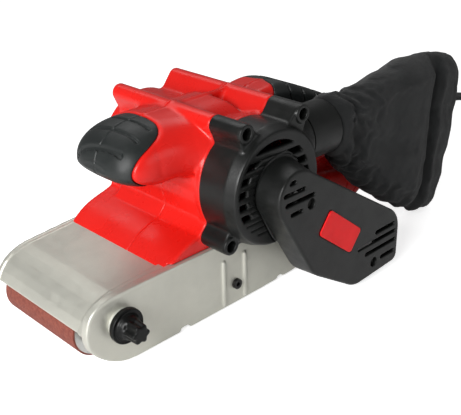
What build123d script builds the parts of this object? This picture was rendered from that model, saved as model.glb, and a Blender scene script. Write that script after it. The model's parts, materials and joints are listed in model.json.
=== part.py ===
from build123d import *
import math

# Handheld belt sander, millimetres. -X is the front, -Y the drive-belt side, +Z up.
# The origin is the centre of the sanding sole, on the belt's lower surface.

# Sanding belt and its rollers
BELT_WIDTH = 76
BELT_THICK = 1.2
ROLLER_SPACING = 169.8
ROLLER_R = 17.45
LOOP_R = 17.5 + BELT_THICK
ROLLER_Z = LOOP_R
FRONT_X = -ROLLER_SPACING / 2
REAR_X = ROLLER_SPACING / 2
AXLE_R = 4
RUNNING = 0.05

# Cast frame
WALL_OUT_Y = -60
WALL_IN_Y = -54
WALL_R = 24.6
WALL_Z = 26.2
DECK_TOP = 48.5
DECK_BOTTOM = 41.5
HOOD_FAR_Y = 46
SHELF_BOTTOM = 5
SHELF_TOP = 12

# Motor
MOTOR_X = 25
MOTOR_Z = 97
BARREL_R = 38
BARREL_BORE_R = 35
PARTING_Y = -18
SHELL_NEAR_Y = -58
SHELL_FAR_Y = 46
FAR_WALL_Y = 42
CAP_FACE_Y = -88
CAP_R = 42
BOSS_R = 6
BOSSES = [(0.4, 132.6), (50.2, 132.5), (-9.6, 60.7), (59.6, 60.7)]
BOSS_NEAR_Y = -84.5
BOSS_FAR_Y = 38
SCREW_R = 2
RECESS_R = 3.65

# Two-stage drive: toothed belt to a countershaft, then a gear pair
MODULE = 1
PINION_TEETH = 16
GEAR_TEETH = 22
GEAR_DISTANCE = MODULE * (PINION_TEETH + GEAR_TEETH) / 2
COUNTER_ANGLE = math.radians(75)
COUNTER_X = REAR_X + GEAR_DISTANCE * math.cos(COUNTER_ANGLE)
COUNTER_Z = ROLLER_Z + GEAR_DISTANCE * math.sin(COUNTER_ANGLE)
GEAR_TOP_Y = -76
GEAR_WIDTH = 8
SMALL_PULLEY_R = 5.35
LARGE_PULLEY_R = 15.85
DRIVE_BELT_GAP = 0.1
DRIVE_BELT_THICK = 1.8
COVER_FACE_Y = -108
COVER_WALL = 2

# Tension and tracking
ROD_Y = -10
ROD_Z = 19
PIVOT_X = -52
KNOB_X = -83
KNOB_Z = 31.5
LEVER_X = -10
LEVER_Y = 20
CAM_R = 9
CAM_OFFSET = 4.3
CAM_REST = math.radians(230)

# Dust outlet and bag
DUCT_Y = -66
DUCT_Z = 109.5
SPIGOT_R = 16.2
COLLAR_R = 18.7
COLLAR_START_X = 63
COLLAR_END_X = 90

# Handle
GRIP_HALF = 19
CORE_HALF = 16
RUBBER = 3
TRIGGER_PIVOT = (93, 103)

# Mains lead
CORD_D = 8
CORD_EXIT_Z = 60
COIL_X = 475
COIL_Y = -32
COIL_MEAN_R = 44


def at_y(y):
    """Plane across the machine at this Y, which extrudes towards the drive side."""
    return Plane.XZ.offset(-y)


def write(piece, node):
    piece.part.label = node
    export_step(piece.part, f"parts/{node}.step")


def ring(x, z, y_top, y_low, outer, inner):
    """A bush, bearing or washer whose axis runs across the machine."""
    with BuildPart() as made:
        with BuildSketch(at_y(y_top)):
            with Locations((x, z)):
                Circle(outer)
                Circle(inner, mode=Mode.SUBTRACT)
        extrude(amount=y_top - y_low)
    return made


def rod(x, z, y_top, y_low, radius):
    with BuildPart() as made:
        with BuildSketch(at_y(y_top)):
            with Locations((x, z)):
                Circle(radius)
        extrude(amount=y_top - y_low)
    return made


def involute_tooth(teeth, backlash):
    """Closed outline of one tooth that points along +X, standing on the root circle."""
    pitch_r = MODULE * teeth / 2
    base_r = pitch_r * math.cos(math.radians(20))
    tip_r = pitch_r + MODULE * 0.95
    root_r = pitch_r - MODULE * 1.3
    pitch_roll = math.tan(math.radians(20)) - math.radians(20)
    half_tooth = math.pi / (2 * teeth) - backlash / (2 * pitch_r)
    flank = [(root_r - 0.4, half_tooth + pitch_roll)]
    for step in range(6):
        radius = base_r + (tip_r - base_r) * step / 5
        angle = math.acos(min(1, base_r / radius))
        roll = math.tan(angle) - angle
        flank.append((radius, half_tooth + pitch_roll - roll))
    upper = [(r * math.cos(a), r * math.sin(a)) for r, a in flank]
    lower = [(x, -y) for x, y in reversed(upper)]
    return upper + lower


def gear(x, z, teeth, bore, first_angle):
    root_r = MODULE * teeth / 2 - MODULE * 1.3
    with BuildPart() as made:
        with BuildSketch(at_y(GEAR_TOP_Y)):
            with Locations((x, z)):
                Circle(root_r)
            with Locations((x, z)):
                with PolarLocations(0, teeth, start_angle=first_angle):
                    Polygon(*involute_tooth(teeth, 0.16), align=None)
            with Locations((x, z)):
                Circle(bore, mode=Mode.SUBTRACT)
        extrude(amount=GEAR_WIDTH)
    return made


def toothed_pulley(x, z, y_top, y_low, radius, teeth, bore, flange_r):
    with BuildPart() as made:
        with BuildSketch(at_y(y_top)):
            with Locations((x, z)):
                Circle(radius)
                Circle(bore, mode=Mode.SUBTRACT)
                with PolarLocations(radius, teeth):
                    Circle(0.75, mode=Mode.SUBTRACT)
        extrude(amount=y_top - y_low)
        if flange_r:
            for y in (y_top + 1, y_low):
                with BuildSketch(at_y(y)):
                    with Locations((x, z)):
                        Circle(flange_r)
                        Circle(bore, mode=Mode.SUBTRACT)
                extrude(amount=1)
    return made


# ---------------------------------------------------------------- cast frame

with BuildPart() as base_frame:
    with BuildSketch(at_y(WALL_IN_Y)):
        with Locations((0, WALL_Z)):
            SlotCenterToCenter(168.4, 2 * WALL_R)
        with Locations((-33, WALL_Z - WALL_R)):
            Trapezoid(9, 5, 60, mode=Mode.SUBTRACT)
        with Locations((57, WALL_Z - WALL_R)):
            Trapezoid(7, 4, 60, mode=Mode.SUBTRACT)
    extrude(amount=WALL_IN_Y - WALL_OUT_Y)
    # Deck above the belt, curling down over the front roller as a hood
    with BuildSketch(at_y(HOOD_FAR_Y)):
        with BuildLine():
            Line((100, DECK_TOP), (-42, DECK_TOP))
            Line((-42, DECK_TOP), (-74, 46))
            ThreePointArc((-74, 46), (-95.6, 39.4), (-104.9, 27.4))
            Line((-104.9, 27.4), (-103.1, 26.9))
            ThreePointArc((-103.1, 26.9), (-99.2, 32.6), (-86, 38.7))
            Line((-86, 38.7), (-74, DECK_BOTTOM))
            Line((-74, DECK_BOTTOM), (92, DECK_BOTTOM))
            Line((92, DECK_BOTTOM), (101, 36))
            Line((101, 36), (105.5, 28))
            Line((105.5, 28), (107.5, 28.5))
            Line((107.5, 28.5), (104.5, 42))
            Line((104.5, 42), (100, DECK_TOP))
        make_face()
    extrude(amount=HOOD_FAR_Y - WALL_IN_Y)
    # Shelf inside the belt loop, and the block that takes its side screw
    with BuildSketch(at_y(34)):
        with Locations((1, (SHELF_BOTTOM + SHELF_TOP) / 2)):
            Rectangle(118, SHELF_TOP - SHELF_BOTTOM)
    extrude(amount=34 - WALL_IN_Y)
    with BuildSketch(at_y(-34)):
        with Locations((12.7, 17)):
            Rectangle(14, 11)
    extrude(amount=-34 - WALL_IN_Y)
    # Guide lugs of the tension rod
    for x in (-18, 30):
        with BuildSketch(at_y(0)):
            with Locations((x - 3, SHELF_TOP + 6)):
                Rectangle(6, 14)
        extrude(amount=20)
    with BuildSketch(Plane.YZ.offset(-30)):
        with Locations((ROD_Y, ROD_Z)):
            Circle(AXLE_R + RUNNING)
    extrude(amount=70, mode=Mode.SUBTRACT)
    # Drive-shaft bearing housing
    with BuildSketch(at_y(-40)):
        with Locations((REAR_X, ROLLER_Z)):
            Circle(15)
    extrude(amount=-40 - WALL_IN_Y)
    for y_top, depth, radius in ((-40, 7, 11), (-53, 7, 11), (-40, 20, 7.5)):
        with BuildSketch(at_y(y_top)):
            with Locations((REAR_X, ROLLER_Z)):
                Circle(radius)
        extrude(amount=depth, mode=Mode.SUBTRACT)
    with BuildSketch(at_y(WALL_IN_Y)):
        with Locations((COUNTER_X, COUNTER_Z)):
            Circle(6)
        with Locations((KNOB_X, KNOB_Z)):
            Circle(5)
        with Locations((12.7, 16.7)):
            Circle(SCREW_R)
        with Locations((101.5, 15.2)):
            Circle(1.75)
    extrude(amount=6, mode=Mode.SUBTRACT)
    with BuildSketch(at_y(-40)):
        with Locations((12.7, 16.7)):
            Circle(SCREW_R)
    extrude(amount=14, mode=Mode.SUBTRACT)
    # Vertical ribs on the outside of the wall
    with BuildSketch(at_y(WALL_OUT_Y)):
        with Locations((1.5, 20), (21, 20)):
            Rectangle(3.4, 34)
    extrude(amount=1.4)
    # Screw holes through the deck, with their heads recessed below
    with BuildSketch(Plane.XY.offset(DECK_TOP)):
        with Locations((-20, -44), (85, -44), (-20, 32), (85, 32)):
            Circle(SCREW_R)
    extrude(amount=-8, mode=Mode.SUBTRACT)
    with BuildSketch(Plane.XY.offset(DECK_BOTTOM + 3)):
        with Locations((-20, -44), (85, -44), (-20, 32), (85, 32)):
            Circle(4)
    extrude(amount=-3, mode=Mode.SUBTRACT)
    # Blind hole for the lever pin
    with BuildSketch(Plane.XY.offset(SHELF_TOP)):
        with Locations((LEVER_X, LEVER_Y)):
            Circle(2.5)
    extrude(amount=-5, mode=Mode.SUBTRACT)
write(base_frame, "base_frame")

with BuildPart() as platen_pad:
    with Locations((1, -1, 3.5)):
        Box(112, 72, 3)
write(platen_pad, "platen_pad")

with BuildPart() as platen_plate:
    with Locations((1, -1, 1.6)):
        Box(114, 74, 0.8)
write(platen_plate, "platen_plate")

with BuildPart() as sanding_belt:
    with BuildSketch(at_y(BELT_WIDTH / 2)):
        with Locations((0, ROLLER_Z)):
            SlotCenterToCenter(ROLLER_SPACING, 2 * LOOP_R)
            SlotCenterToCenter(ROLLER_SPACING, 2 * (LOOP_R - BELT_THICK), mode=Mode.SUBTRACT)
    extrude(amount=BELT_WIDTH)
write(sanding_belt, "sanding_belt")

# ------------------------------------------------- front roller and tension

with BuildPart() as idler_roller:
    with BuildSketch(at_y(37)):
        with Locations((FRONT_X, ROLLER_Z)):
            Circle(ROLLER_R)
            Circle(8, mode=Mode.SUBTRACT)
    extrude(amount=75.5)
    for y_top in (37, -31.5):
        with BuildSketch(at_y(y_top)):
            with Locations((FRONT_X, ROLLER_Z)):
                Circle(11)
        extrude(amount=7, mode=Mode.SUBTRACT)
write(idler_roller, "idler_roller")

with BuildPart() as idler_bearings:
    with BuildSketch(at_y(37), at_y(-31.5)):
        with Locations((FRONT_X, ROLLER_Z)):
            Circle(11)
            Circle(AXLE_R + RUNNING, mode=Mode.SUBTRACT)
    extrude(amount=7)
write(idler_bearings, "idler_bearings")

idler_axle = rod(FRONT_X, ROLLER_Z, 37.6, -50, AXLE_R)
write(idler_axle, "idler_axle")

with BuildPart() as axle_screw:
    with BuildSketch(at_y(40.6)):
        with Locations((FRONT_X, ROLLER_Z)):
            Circle(7)
            RegularPolygon(2.5, 6, mode=Mode.SUBTRACT)
    extrude(amount=2.4)
    with BuildSketch(at_y(38.2)):
        with Locations((FRONT_X, ROLLER_Z)):
            Circle(7)
    extrude(amount=0.6)
write(axle_screw, "idler_axle_screw")

with BuildPart() as idler_bracket:
    # Arm beside the roller
    with BuildSketch(at_y(-43)):
        with BuildLine():
            Polyline((-95, 11), (-66, 11), (-60, 14), (-60, 27), (-74, 36.5), (-90, 36.5), (-95, 30),
                     close=True)
        make_face()
        with Locations((FRONT_X, ROLLER_Z)):
            Circle(AXLE_R, mode=Mode.SUBTRACT)
    extrude(amount=7)
    # Cross-piece behind the roller
    with BuildSketch(Plane.XY.offset(15)):
        with Locations((-62.5, -26)):
            Rectangle(5, 40)
    extrude(amount=8)
    # Tongue that turns in the fork
    with BuildSketch(Plane.XY.offset(16.3)):
        with BuildLine():
            Line((-60, ROD_Y - 4), (PIVOT_X, ROD_Y - 4))
            ThreePointArc((PIVOT_X, ROD_Y - 4), (PIVOT_X + 4, ROD_Y), (PIVOT_X, ROD_Y + 4))
            Line((PIVOT_X, ROD_Y + 4), (-60, ROD_Y + 4))
            Line((-60, ROD_Y + 4), (-60, ROD_Y - 4))
        make_face()
        with Locations((PIVOT_X, ROD_Y)):
            Circle(1.5 + RUNNING, mode=Mode.SUBTRACT)
    extrude(amount=5.4)
write(idler_bracket, "idler_bracket")

with BuildPart() as tension_rod:
    with BuildSketch(Plane.YZ.offset(-46)):
        with Locations((ROD_Y, ROD_Z)):
            Circle(AXLE_R)
    extrude(amount=86)
    # Fork for the bracket's tongue
    with Locations((-51, ROD_Y, ROD_Z)):
        Box(10, 14, 12)
    with Locations((-52.5, ROD_Y, ROD_Z)):
        Box(9, 16, 6, mode=Mode.SUBTRACT)
    with Locations((PIVOT_X, ROD_Y, ROD_Z)):
        Cylinder(1.5, 30, mode=Mode.SUBTRACT)
    # Plate that the cam pushes
    with Locations((LEVER_X - CAM_OFFSET * 0.6428 + CAM_R + 2.2, 6, ROD_Z)):
        Box(4, 40, 8)
write(tension_rod, "tension_rod")

with BuildPart() as pivot_pin:
    with Locations((PIVOT_X, ROD_Y, ROD_Z)):
        Cylinder(1.5, 12)
write(pivot_pin, "bracket_pivot_pin")

with BuildPart() as tension_spring:
    with BuildSketch(Plane.YZ.offset(-46)):
        with Locations((ROD_Y, ROD_Z)):
            Circle(6.2)
            Circle(4.6, mode=Mode.SUBTRACT)
    extrude(amount=22)
write(tension_spring, "tension_spring")

with BuildPart() as lever_pin:
    with Locations((LEVER_X, LEVER_Y, 16.5)):
        Cylinder(2.5, 19)
    with Locations((LEVER_X, LEVER_Y, 27)):
        Cylinder(4, 2)
write(lever_pin, "lever_pin")

with BuildPart() as release_lever:
    cam_x = LEVER_X + CAM_OFFSET * math.cos(CAM_REST)
    cam_y = LEVER_Y + CAM_OFFSET * math.sin(CAM_REST)
    with BuildSketch(Plane.XY.offset(13)):
        with Locations((cam_x, cam_y)):
            Circle(CAM_R)
    extrude(amount=11)
    with BuildSketch(Plane.XY.offset(14)):
        with BuildLine():
            Polyline((-13, 24), (-10, 29), (-2, 30), (44, 31), (44, 36), (-6, 36), (-17, 27), close=True)
        make_face()
    extrude(amount=11)
    with BuildSketch(Plane.XY.offset(13)):
        with Locations((LEVER_X, LEVER_Y)):
            Circle(2.5 + RUNNING)
    extrude(amount=13, mode=Mode.SUBTRACT)
write(release_lever, "release_lever")

# ------------------------------------------------------------ tracking knob

with BuildPart() as tracking_bush:
    with BuildSketch(at_y(WALL_IN_Y)):
        with Locations((KNOB_X, KNOB_Z)):
            Circle(5)
    extrude(amount=WALL_IN_Y - WALL_OUT_Y)
    with BuildSketch(at_y(WALL_OUT_Y)):
        with Locations((KNOB_X, KNOB_Z)):
            Circle(9.5)
    extrude(amount=2.6)
    with BuildSketch(at_y(WALL_IN_Y)):
        with Locations((KNOB_X, KNOB_Z)):
            Circle(3.5 + RUNNING)
    extrude(amount=9, mode=Mode.SUBTRACT)
write(tracking_bush, "tracking_bush")

tracking_screw = rod(KNOB_X, KNOB_Z, -50.2, -75.5, 3.5)
write(tracking_screw, "tracking_screw")

with BuildPart() as tracking_knob:
    with BuildSketch(at_y(-62.9)):
        with Locations((KNOB_X, KNOB_Z)):
            Circle(11.6)
    extrude(amount=4.2)
    with BuildSketch(at_y(-67.1)):
        with Locations((KNOB_X, KNOB_Z)):
            Circle(6)
            with PolarLocations(4.4, 5, start_angle=90):
                Rectangle(8.8, 3.4)
    extrude(amount=13, taper=5)
    with BuildSketch(at_y(-62.9)):
        with Locations((KNOB_X, KNOB_Z)):
            Circle(3.5)
    extrude(amount=12.6, mode=Mode.SUBTRACT)
write(tracking_knob, "tracking_knob")

# ------------------------------------------------- drive roller and gearing

drive_roller_core = ring(REAR_X, ROLLER_Z, 37, -38.5, 14, AXLE_R)
write(drive_roller_core, "drive_roller_core")

drive_roller_sleeve = ring(REAR_X, ROLLER_Z, 37, -38.5, ROLLER_R, 14)
write(drive_roller_sleeve, "drive_roller_sleeve")

drive_shaft = rod(REAR_X, ROLLER_Z, 40, -86, AXLE_R)
write(drive_shaft, "drive_shaft")

with BuildPart() as drive_bearings:
    with BuildSketch(at_y(-40), at_y(-53)):
        with Locations((REAR_X, ROLLER_Z)):
            Circle(11)
            Circle(AXLE_R + RUNNING, mode=Mode.SUBTRACT)
    extrude(amount=7)
write(drive_bearings, "drive_bearings")

drive_gear = gear(REAR_X, ROLLER_Z, GEAR_TEETH, AXLE_R, math.degrees(COUNTER_ANGLE))
write(drive_gear, "drive_gear")

counter_gear = gear(COUNTER_X, COUNTER_Z, PINION_TEETH, AXLE_R,
                    math.degrees(COUNTER_ANGLE) + 180 + 180 / PINION_TEETH)
write(counter_gear, "counter_gear")

countershaft = rod(COUNTER_X, COUNTER_Z, -54.5, -105.5, AXLE_R)
write(countershaft, "countershaft")

counter_bush = ring(COUNTER_X, COUNTER_Z, WALL_IN_Y, WALL_OUT_Y, 6, AXLE_R + RUNNING)
write(counter_bush, "countershaft_bush")

large_pulley = toothed_pulley(COUNTER_X, COUNTER_Z, -94, -102, LARGE_PULLEY_R, 34, AXLE_R, 17.6)
write(large_pulley, "large_pulley")

motor_pulley = toothed_pulley(MOTOR_X, MOTOR_Z, -93, -103, SMALL_PULLEY_R, 12, 3, 0)
write(motor_pulley, "motor_pulley")

with BuildPart() as drive_belt:
    small_in = SMALL_PULLEY_R + DRIVE_BELT_GAP
    large_in = LARGE_PULLEY_R + DRIVE_BELT_GAP
    with BuildSketch(at_y(-94.4)):
        with BuildSketch(mode=Mode.PRIVATE) as loop_out:
            with Locations((MOTOR_X, MOTOR_Z)):
                Circle(small_in + DRIVE_BELT_THICK)
            with Locations((COUNTER_X, COUNTER_Z)):
                Circle(large_in + DRIVE_BELT_THICK)
        with BuildSketch(mode=Mode.PRIVATE) as loop_in:
            with Locations((MOTOR_X, MOTOR_Z)):
                Circle(small_in)
            with Locations((COUNTER_X, COUNTER_Z)):
                Circle(large_in)
        make_hull(loop_out.sketch.edges())
        make_hull(loop_in.sketch.edges(), mode=Mode.SUBTRACT)
    extrude(amount=7.2)
write(drive_belt, "toothed_belt")

# -------------------------------------------------------------------- motor

with BuildPart() as armature_shaft:
    with BuildSketch(at_y(37)):
        with Locations((MOTOR_X, MOTOR_Z)):
            Circle(AXLE_R)
    extrude(amount=37 + 92.6)
    with BuildSketch(at_y(-92.6)):
        with Locations((MOTOR_X, MOTOR_Z)):
            Circle(3)
    extrude(amount=11.4)
write(armature_shaft, "armature_shaft")

with BuildPart() as armature_core:
    with BuildSketch(at_y(6)):
        with Locations((MOTOR_X, MOTOR_Z)):
            Circle(19)
            with PolarLocations(16.5, 12):
                Rectangle(7, 2.6, mode=Mode.SUBTRACT)
            Circle(AXLE_R, mode=Mode.SUBTRACT)
    extrude(amount=44)
write(armature_core, "armature_core")

with BuildPart() as armature_windings:
    with BuildSketch(at_y(12), at_y(-38)):
        with Locations((MOTOR_X, MOTOR_Z)):
            Circle(16.5)
            Circle(AXLE_R, mode=Mode.SUBTRACT)
    extrude(amount=6)
write(armature_windings, "armature_windings")

commutator = ring(MOTOR_X, MOTOR_Z, 27, 14, 12, AXLE_R)
write(commutator, "commutator")

with BuildPart() as cooling_fan:
    with BuildSketch(at_y(-48)):
        with Locations((MOTOR_X, MOTOR_Z)):
            Circle(31)
    extrude(amount=1.6)
    with BuildSketch(at_y(-49)):
        with Locations((MOTOR_X, MOTOR_Z)):
            Circle(8)
            with PolarLocations(20, 11):
                Rectangle(20, 1.6, rotation=25)
    extrude(amount=8)
    with BuildSketch(at_y(-48)):
        with Locations((MOTOR_X, MOTOR_Z)):
            Circle(AXLE_R)
    extrude(amount=9, mode=Mode.SUBTRACT)
write(cooling_fan, "cooling_fan")

with BuildPart() as stator:
    with BuildSketch(at_y(8)):
        with Locations((MOTOR_X, MOTOR_Z)):
            Circle(34.8)
            Circle(19.6, mode=Mode.SUBTRACT)
        with Locations((MOTOR_X - 25.5, MOTOR_Z), (MOTOR_X + 25.5, MOTOR_Z)):
            Rectangle(9, 26, mode=Mode.SUBTRACT)
    extrude(amount=48)
write(stator, "stator_core")

with BuildPart() as field_coils:
    with BuildSketch(at_y(12)):
        with Locations((MOTOR_X - 25.5, MOTOR_Z), (MOTOR_X + 25.5, MOTOR_Z)):
            RectangleRounded(9, 26, 2)
    extrude(amount=57)
write(field_coils, "field_coils")

with BuildPart() as motor_bearings:
    with BuildSketch(at_y(37), at_y(-76)):
        with Locations((MOTOR_X, MOTOR_Z)):
            Circle(11)
            Circle(AXLE_R + RUNNING, mode=Mode.SUBTRACT)
    extrude(amount=7)
write(motor_bearings, "motor_bearings")

BRUSH_Y = 20
with BuildPart() as brush_holders:
    with Locations((MOTOR_X - 23.7, BRUSH_Y, MOTOR_Z), (MOTOR_X + 23.7, BRUSH_Y, MOTOR_Z)):
        Box(21, 14, 12)
        Box(21, 8, 6, mode=Mode.SUBTRACT)
write(brush_holders, "brush_holders")

with BuildPart() as carbon_brushes:
    with Locations((MOTOR_X - 19.2, BRUSH_Y, MOTOR_Z), (MOTOR_X + 19.2, BRUSH_Y, MOTOR_Z)):
        Box(14, 8, 6)
write(carbon_brushes, "carbon_brushes")

with BuildPart() as brush_caps:
    for end in (-1, 1):
        with BuildSketch(Plane.YZ.offset(MOTOR_X + end * 34.6)):
            with Locations((BRUSH_Y, MOTOR_Z)):
                Circle(8)
        extrude(amount=end * 4.6)
        with BuildSketch(Plane.YZ.offset(MOTOR_X + end * 38.2)):
            with Locations((BRUSH_Y, MOTOR_Z)):
                Rectangle(9, 1.8)
        extrude(amount=end * 1, mode=Mode.SUBTRACT)
write(brush_caps, "brush_caps")

# ------------------------------------------------------------ motor end cap

def boss_web(index):
    """Boss outline flared down to the motor barrel."""
    x, z = BOSSES[index]
    reach = math.hypot(x - MOTOR_X, z - MOTOR_Z)
    foot_x = MOTOR_X + (x - MOTOR_X) * 26 / reach
    foot_z = MOTOR_Z + (z - MOTOR_Z) * 26 / reach
    with BuildSketch(mode=Mode.PRIVATE) as ends:
        with Locations((x, z)):
            Circle(BOSS_R)
        with Locations((foot_x, foot_z)):
            Circle(11)
    make_hull(ends.sketch.edges())


with BuildPart() as motor_end_cap:
    with BuildSketch(at_y(SHELL_NEAR_Y)):
        with Locations((MOTOR_X, MOTOR_Z)):
            Circle(CAP_R)
    extrude(amount=SHELL_NEAR_Y - CAP_FACE_Y)
    chamfer(motor_end_cap.faces().sort_by(Axis.Y)[0].edges(), 2.5)
    for index in range(4):
        with BuildSketch(at_y(SHELL_NEAR_Y)):
            boss_web(index)
        extrude(amount=20)
        with BuildSketch(at_y(SHELL_NEAR_Y)):
            with Locations(BOSSES[index]):
                Circle(BOSS_R)
        extrude(amount=SHELL_NEAR_Y - BOSS_NEAR_Y)
    # Tangential dust outlet, cleared round the barrel and the rear boss
    with BuildSketch(Plane.YZ.offset(40)):
        with Locations((-72, 106)):
            Circle(12)
    with BuildSketch(Plane.YZ.offset(COLLAR_START_X - 0.3)):
        with Locations((DUCT_Y, DUCT_Z)):
            Circle(COLLAR_R)
    loft()
    with BuildSketch(Plane.YZ.offset(COLLAR_START_X - 0.3)):
        with Locations((DUCT_Y, DUCT_Z)):
            Circle(COLLAR_R + 0.4)
    extrude(amount=8, mode=Mode.SUBTRACT)
    with BuildSketch(Plane.YZ.offset(COLLAR_START_X - 1)):
        with Locations((DUCT_Y, DUCT_Z)):
            Circle(SPIGOT_R)
    extrude(amount=24)
    with BuildSketch(at_y(-40)):
        boss_web(1)
        offset(amount=0.3)
        with Locations((MOTOR_X, MOTOR_Z)):
            Circle(BARREL_R + 0.3)
    extrude(amount=18, mode=Mode.SUBTRACT)
    with BuildSketch(Plane.YZ.offset(52)):
        with Locations((-71, 107.5)):
            Circle(10)
    extrude(amount=11, mode=Mode.SUBTRACT)
    with BuildSketch(Plane.YZ.offset(COLLAR_START_X - 4)):
        with Locations((DUCT_Y, DUCT_Z)):
            Circle(13.5)
    extrude(amount=30, mode=Mode.SUBTRACT)
    # Fan chamber
    with BuildSketch(at_y(SHELL_NEAR_Y)):
        with Locations((MOTOR_X, MOTOR_Z)):
            Circle(36)
    extrude(amount=26, mode=Mode.SUBTRACT)
    # Bearing seat on three spokes of the end wall
    with BuildSketch(at_y(-76)):
        with Locations((MOTOR_X, MOTOR_Z)):
            Circle(14)
            Circle(11, mode=Mode.SUBTRACT)
    extrude(amount=8)
    with BuildSketch(at_y(-83)):
        with Locations((MOTOR_X, MOTOR_Z)):
            Circle(14)
            Circle(6, mode=Mode.SUBTRACT)
    extrude(amount=5)
    with BuildSketch(at_y(-83)):
        with Locations((MOTOR_X, MOTOR_Z)):
            Circle(6)
            with PolarLocations(31.8, 12, start_angle=112, angular_range=154):
                Rectangle(6.4, 3.8)
        with Locations((32, 84.7)):
            Circle(1.75)
    extrude(amount=6, mode=Mode.SUBTRACT)
    # Long screws: shank hole and the deep head recess
    with BuildSketch(at_y(SHELL_NEAR_Y)):
        with Locations(BOSSES):
            Circle(SCREW_R)
    extrude(amount=10, mode=Mode.SUBTRACT)
    with BuildSketch(at_y(-66)):
        with Locations(BOSSES):
            Circle(RECESS_R)
    extrude(amount=20, mode=Mode.SUBTRACT)
write(motor_end_cap, "motor_end_cap")

# -------------------------------------------------------- drive-belt cover

COVER_LOBES = [(20.5, 92.5, 18.5), (59, 53.2, 27), (88, 24, 20.5), (123.5, 12.5, 7), (109.5, 32.6, 21)]
SKIRT_LOBES = [(76, 46, 13.6), (88, 24, 20.1), (123.5, 12.5, 6.6), (109.5, 32.6, 20.6)]


def cover_hull(lobes, inset, mode=Mode.ADD):
    with BuildSketch(mode=Mode.PRIVATE) as circles:
        for x, z, radius in lobes:
            with Locations((x, z)):
                Circle(radius - inset)
    make_hull(circles.sketch.edges(), mode=mode)


with BuildPart() as drive_cover:
    with BuildSketch(at_y(CAP_FACE_Y)):
        cover_hull(COVER_LOBES, 0)
    extrude(amount=CAP_FACE_Y - COVER_FACE_Y, taper=3)
    chamfer(drive_cover.faces().sort_by(Axis.Y)[0].edges(), 1.6)
    with BuildSketch(at_y(CAP_FACE_Y)):
        with Locations((24.5, MOTOR_Z)):
            Circle(22.5)
    with BuildSketch(at_y(COVER_FACE_Y + 1)):
        with Locations((20.8, 92.8)):
            Circle(17)
    loft()
    with BuildSketch(at_y(WALL_OUT_Y)):
        cover_hull(SKIRT_LOBES, 0)
    extrude(amount=WALL_OUT_Y - CAP_FACE_Y + 1)
    with BuildSketch(at_y(WALL_OUT_Y)):
        with Locations((MOTOR_X, MOTOR_Z)):
            Circle(CAP_R)
        with Locations(BOSSES[3]):
            Circle(BOSS_R + 3)
    extrude(amount=WALL_OUT_Y - CAP_FACE_Y, mode=Mode.SUBTRACT)
    with BuildSketch(at_y(CAP_FACE_Y)):
        cover_hull(COVER_LOBES, COVER_WALL + 1.1)
    extrude(amount=CAP_FACE_Y - COVER_FACE_Y - COVER_WALL, mode=Mode.SUBTRACT)
    with BuildSketch(at_y(WALL_OUT_Y)):
        cover_hull(SKIRT_LOBES, COVER_WALL)
        with Locations((MOTOR_X, MOTOR_Z)):
            Circle(CAP_R + COVER_WALL, mode=Mode.SUBTRACT)
        with Locations(BOSSES[3]):
            Circle(BOSS_R + 3 + COVER_WALL, mode=Mode.SUBTRACT)
    extrude(amount=WALL_OUT_Y - CAP_FACE_Y, mode=Mode.SUBTRACT)
    # Outer bearing of the countershaft and the two screw cups
    with BuildSketch(at_y(-103.3)):
        with Locations((COUNTER_X, COUNTER_Z)):
            Circle(7)
    extrude(amount=3)
    with BuildSketch(at_y(-102.3)):
        with Locations((32, 84.7), (101.5, 15.2)):
            Circle(5)
    extrude(amount=4)
    with BuildSketch(at_y(-102)):
        with Locations((COUNTER_X, COUNTER_Z)):
            Circle(AXLE_R + RUNNING)
        with Locations((32, 84.7), (101.5, 15.2)):
            Circle(1.75)
    extrude(amount=3.9, mode=Mode.SUBTRACT)
    with BuildSketch(at_y(-103.7)):
        with Locations((32, 84.7), (101.5, 15.2)):
            Circle(3.6)
    extrude(amount=6, mode=Mode.SUBTRACT)
    # Louvre slots
    slots = [(13, 16.5, 104), (8.1, 25.2, 97.2), (9.5, 34.7, 90), (14.4, 22.8, 83),
             (102.8, 122.7, 38), (83.5, 124.3, 31.8), (91.9, 125, 24.8), (110.4, 124.2, 15.9)]
    for x_start, x_end, z in slots:
        with BuildSketch(at_y(COVER_FACE_Y + COVER_WALL + 0.5)):
            with Locations(((x_start + x_end) / 2, z)):
                SlotOverall(x_end - x_start, 2.6)
        extrude(amount=4, mode=Mode.SUBTRACT)
write(drive_cover, "drive_cover")

with BuildPart() as cover_label:
    with BuildSketch(at_y(COVER_FACE_Y)):
        with Locations((62, 54)):
            RectangleRounded(42, 18, 2.5, rotation=-38)
    extrude(amount=0.8)
write(cover_label, "cover_label")

with BuildPart() as cover_screws:
    for (x, z), end_y in (((32, 84.7), -84.2), ((101.5, 15.2), -56)):
        with BuildSketch(at_y(-103.7)):
            with Locations((x, z)):
                Circle(3.2)
        extrude(amount=1.7)
        with BuildSketch(at_y(end_y)):
            with Locations((x, z)):
                Circle(1.75)
        extrude(amount=end_y + 103.7)
write(cover_screws, "cover_screws")

# ---------------------------------------------------------- housing halves

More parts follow.
